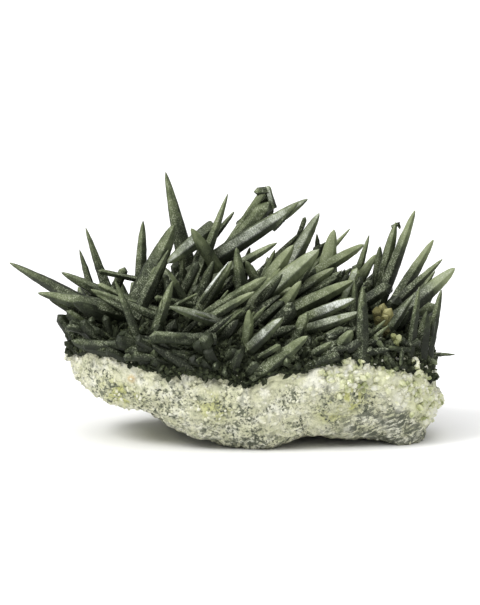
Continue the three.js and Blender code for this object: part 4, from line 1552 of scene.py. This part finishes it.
@dataclass
class Druse:
    """The green crust over the rock's top, covered with tiny crystals."""

    name: str
    node: str
    left: float
    right: float
    seed: int
    finish: CrystalFinish
    quartz_rise: float = 0.0
    steps: tuple[int, ...] = (12, 14, 16, 18, 18, 16, 14, 12, 6, 6)
    spacing: float = 0.42

    def _outline(self, x: float) -> np.ndarray:
        """The crust's section at x as depth and height.

        Args:
            x: where the section is.

        Returns:
            Its corners, one per row.
        """
        _, _, rim, crown, front, back = section_at(x)
        shoulder = rim + (crown - rim) * 0.6 + CRUST_THICKNESS
        return np.array(
            (
                (front * 0.6, rim - 1.2),
                (front * 0.985, rim + 0.1),
                (front * 0.96, rim + CRUST_THICKNESS),
                (front * 0.72, shoulder + CORE_RISE * 0.3),
                (0, crown + CRUST_THICKNESS + CORE_RISE * 0.7),
                (back * 0.72, shoulder + CORE_RISE * 0.3),
                (back * 0.96, rim + CRUST_THICKNESS),
                (back * 0.985, rim - 0.2),
                (back * 0.6, rim - 1.5),
                (0, crown - 4),
            )
        )

    def _surface(self) -> Surface:
        """The crust's lumpy surface, with its outside marked.

        Returns:
            The surface.
        """
        stations = np.linspace(self.left, self.right, round((self.right - self.left) / self.spacing))
        grid = swept(self._outline, stations, self.steps)
        normals = outward_normals(grid)
        flat = grid.reshape(-1, 3)
        middle, _ = cells_at(flat, 1.9)
        relief = 0.8 * noise_at(flat, 3.4, self.seed) + 0.5 * (0.6 - middle) + 0.25 * noise_at(flat, 1.0)
        grid = grid + normals * relief.reshape(grid.shape[:2])[..., None]
        vertices, faces = loft(grid)
        starts = np.cumsum((0, *self.steps))
        k = np.arange(grid.shape[1])
        outside = np.where((k > starts[1] + 1) & (k < starts[7]), 1.0, 0.0)
        marks = {"outside": np.append(np.tile(outside, grid.shape[0]), (0, 0))}
        marks["tone"] = np.clip(0.1 + 0.35 * noise_at(vertices, 2.2, 5.0), -0.3, 0.5)
        x, y, z = vertices.T
        above = z - rim_at(x) + 1.8 * noise_at(vertices, 2.4, 21.0)
        marks["quartz"] = marks["outside"] * slope(above, self.quartz_rise, -1.2) * (y < 0)
        return Surface(vertices, faces, marks)

    def build(self) -> None:
        """Makes the crust and the tiny crystals on it."""
        material = self.finish.material()
        crust = self._surface().as_object(f"{self.name}_crust", material, 80)
        tiny = CrystalFinish(
            f"{self.name}_tiny",
            deep=(0.013, 0.017, 0.0075),
            body=(0.032, 0.040, 0.0175),
            light=(0.075, 0.092, 0.04),
            tip=(0.17, 0.195, 0.09),
            roughness=0.6,
            sheen=0.15,
        ).material()
        small, needle, grain = (0.6, 0.6, 0.7), (1.6, 1.5, 2.2), (1.1, 1.1, 0.9)
        for scatter in (
            Scatter(f"{self.name}_points", Form.NEEDLE, "outside", 0.8, small, needle, 1.0, self.seed),
            Scatter(f"{self.name}_grit", Form.GRAIN, "outside", 1.6, (0.4,) * 3, grain, 1.2, self.seed + 5),
        ):
            settle(scatter.over(crust, tiny), self.node)
        if self.quartz_rise:
            least, most = (0.7, 0.7, 0.6), (2.2, 2.0, 1.7)
            climbing = Scatter("climbing_quartz", Form.GRAIN, "quartz", 0.9, least, most, 0.8, 71)
            settle(climbing.over(crust, milky_quartz("climbing_milky_quartz")), QUARTZ_NODE)
        settle(crust, self.node)


@dataclass
class Thicket:
    """The left and middle crystals, in groups from the big front ones to the small fringe."""

    node: str = "main_crystal_thicket"
    finish: CrystalFinish = field(default_factory=lambda: CrystalFinish("chlorite_quartz"))

    def groups(self) -> dict[str, tuple[list[Crystal], int, int]]:
        """Each group's crystals, the split of their sides and their number of rings.

        Returns:
            These three, under the group's name.
        """
        left = [*LEFT_SPEARS, *LEFT_STUBS]
        backing = [*DARK_BACKING, *grown_crystals(BACK_GROWTH)]
        filling = filling_crystals(Region(301, 50, -29, 3, -0.45, 0.5), 3.0, (8, 19))
        filling += filling_crystals(Region(302, 36, 3, 26, -0.15, 0.5), 3.0, (8, 19))
        filling += filling_crystals(Region(303, 26, -17, 8, -0.75, -0.3), 12.0, (7, 14))
        behind = filling_crystals(Region(307, 110, -29, 26, 0.2, 0.9), 2.0, (6, 14))
        rim = rim_crystals(Region(311, 92, -29.8, 27), -1) + rim_crystals(Region(313, 86, -29.5, 27), 1)
        stout = [*left, *MIDDLE_SPIRES, *CENTRE_BLADES, *RIGHT_CENTRE_BLADES]
        return {
            "left_spears": (left, 4, 26),
            "middle_spires": (list(MIDDLE_SPIRES), 4, 30),
            "centre_blades": (list(CENTRE_BLADES), 4, 30),
            "right_centre_blades": (list(RIGHT_CENTRE_BLADES), 4, 28),
            "backing_crystals": (backing, 3, 16),
            "filling_crystals": (filling, 2, 12),
            "rear_crystals": (behind, 2, 12),
            "rim_crystals": (rim, 2, 7),
            "side_shoots": (side_shoots(stout, 317), 2, 9),
        }

    def build(self) -> None:
        """Makes every group as a piece of its own."""
        material = self.finish.material()
        for seed, (name, (crystals, split, rings)) in enumerate(self.groups().items(), 100):
            CrystalMesher(seed, split, rings).add_all(crystals).piece(name, self.node, material)


@dataclass
class Spray:
    """The right-hand group of crystals."""

    node: str = "right_crystal_spray"
    finish: CrystalFinish = field(default_factory=lambda: CrystalFinish("chlorite_quartz_right"))

    def build(self) -> None:
        """Makes the big crystals and the small ones round their feet."""
        material = self.finish.material()
        CrystalMesher(140, 4, 28).add_all(RIGHT_SPRAY).piece("right_spears", self.node, material)
        small = [
            *grown_crystals(RIGHT_BACK_GROWTH),
            *filling_crystals(Region(331, 14, 29.2, 33, -0.3, 0.7), 5.0, (6, 12)),
            *rim_crystals(Region(337, 4, 28.9, 34), -1),
            *rim_crystals(Region(341, 18, 28.9, 34), 1),
            *side_shoots(RIGHT_SPRAY, 347),
        ]
        yellow = ((0.2, (0.15, 0.17, 0.06)), (0.45, (0.36, 0.38, 0.17)), (0.8, (0.52, 0.54, 0.34)))
        finish = GrainFinish("yellow_quartz", yellow, 0.35, 0.0, 0.6).material()
        CrystalMesher(142, 4, 10).add_all(YELLOW_POINTS).piece("yellow_points", self.node, finish)
        CrystalMesher(141, 2, 9).add_all(small).piece("right_small_crystals", self.node, material)


@dataclass
class Rosette:
    """The small tan crystals between the two green groups."""

    node: str = "tan_crystal_rosette"

    def build(self) -> None:
        """Makes the rosette."""
        tan = CrystalFinish(
            "tan_quartz",
            deep=(0.05, 0.044, 0.016),
            body=(0.105, 0.098, 0.035),
            light=(0.195, 0.182, 0.07),
            tip=(0.30, 0.285, 0.125),
            dust_and_light_colour=(0.37, 0.35, 0.19),
        )
        CrystalMesher(150, 4, 18).add_all(TAN_ROSETTE).piece("tan_rosette", self.node, tan.material())


@dataclass
class Studio:
    """A plain white floor, soft light, and the camera at the photograph's angle."""

    image_width: int = 480
    image_height: int = 605
    pixels_per_mm: float = 5.0
    origin_px: tuple[float, float] = (232.0, 435.0)
    elevation: float = math.atan(VIEW_RISE)
    distance: float = 1600.0
    sensor: float = 36.0
    surroundings: float = 0.38
    floor_reach: float = 3000.0
    floor_drop: float = 0.02

    def _camera(self) -> None:
        """Places the camera so that the origin falls on its place in the picture."""
        across = (self.image_width / 2 - self.origin_px[0]) / self.pixels_per_mm
        up = (self.origin_px[1] - self.image_height / 2) / self.pixels_per_mm / math.cos(self.elevation)
        data = bpy.data.cameras.new("camera")
        data.sensor_width = self.sensor
        data.sensor_fit = "HORIZONTAL"
        data.lens = self.sensor * self.distance * self.pixels_per_mm / self.image_width
        data.clip_end = 20
        camera = bpy.data.objects.new("camera", data)
        away = self.distance * math.cos(self.elevation)
        camera.location = Vector((across, -away, up + self.distance * math.sin(self.elevation))) * MM
        camera.rotation_euler = (math.pi / 2 - self.elevation, 0, 0)
        bpy.context.scene.collection.objects.link(camera)
        bpy.context.scene.camera = camera

    def _floor(self) -> None:
        """Lays the floor."""
        material, bench = new_material("white_floor")
        white = {"Base Color": (0.92, 0.92, 0.92, 1), "Roughness": 0.9}
        paper = bench.node("ShaderNodeBsdfPrincipled", None, white)
        bench.node("ShaderNodeOutputMaterial", None, {"Surface": paper})
        reach, drop = self.floor_reach, self.floor_drop
        corners = np.array([(x * reach, y * reach, -drop) for x, y in ((-1, -1), (1, -1), (1, 1), (-1, 1))])
        floor = Surface(corners, [(0, 1, 2, 3)]).as_object("studio_floor", material, 30)

    @staticmethod
    def _light(name: str, energy: float, spread: float, toward: Point) -> None:
        """Adds a broad soft light that shines along a direction.

        Args:
            name: the light's name.
            energy: its strength.
            spread: the angle that it fills, in degrees.
            toward: the direction in which it shines.
        """
        data = bpy.data.lights.new(name, "SUN")
        data.energy = energy
        data.angle = math.radians(spread)
        light = bpy.data.objects.new(name, data)
        light.rotation_euler = Vector(toward).to_track_quat("-Z", "Y").to_euler()
        bpy.context.scene.collection.objects.link(light)

    def build(self) -> None:
        """Sets up the floor, the lights and the camera."""
        scene = bpy.context.scene
        scene.view_settings.view_transform = "Standard"
        world = bpy.data.worlds.new("studio")
        world.use_nodes = True
        background = world.node_tree.nodes["Background"]
        background.inputs["Color"].default_value = (1, 1, 1, 1)
        background.inputs["Strength"].default_value = self.surroundings
        scene.world = world
        self._light("top_light", 2.3, 75, (0.0, 0.12, -1.0))
        self._light("key_light", 1.85, 24, (0.58, 0.36, -0.74))
        self._floor()
        self._camera()


def main() -> None:
    """Builds the studio and every piece of the cluster."""
    logging.basicConfig(level=logging.INFO, format="%(message)s")
    Studio().build()
    light, tip = (0.09, 0.108, 0.046), (0.2, 0.23, 0.1)
    green = CrystalFinish("green_druse", light=light, tip=tip, roughness=0.6, sheen=0.15)
    left_end, right_end = CRUST_SPLIT - GAP / 2, CRUST_SPLIT + GAP / 2
    thicket, spray = Thicket(), Spray()
    HostRock().build()
    Druse("thicket_druse", thicket.node, -32.2, left_end, 11, green).build()
    Druse("spray_druse", spray.node, right_end, 39.8, 17, green, quartz_rise=3.8).build()
    thicket.build()
    spray.build()
    Rosette().build()


if __name__ == "__main__":
    main()
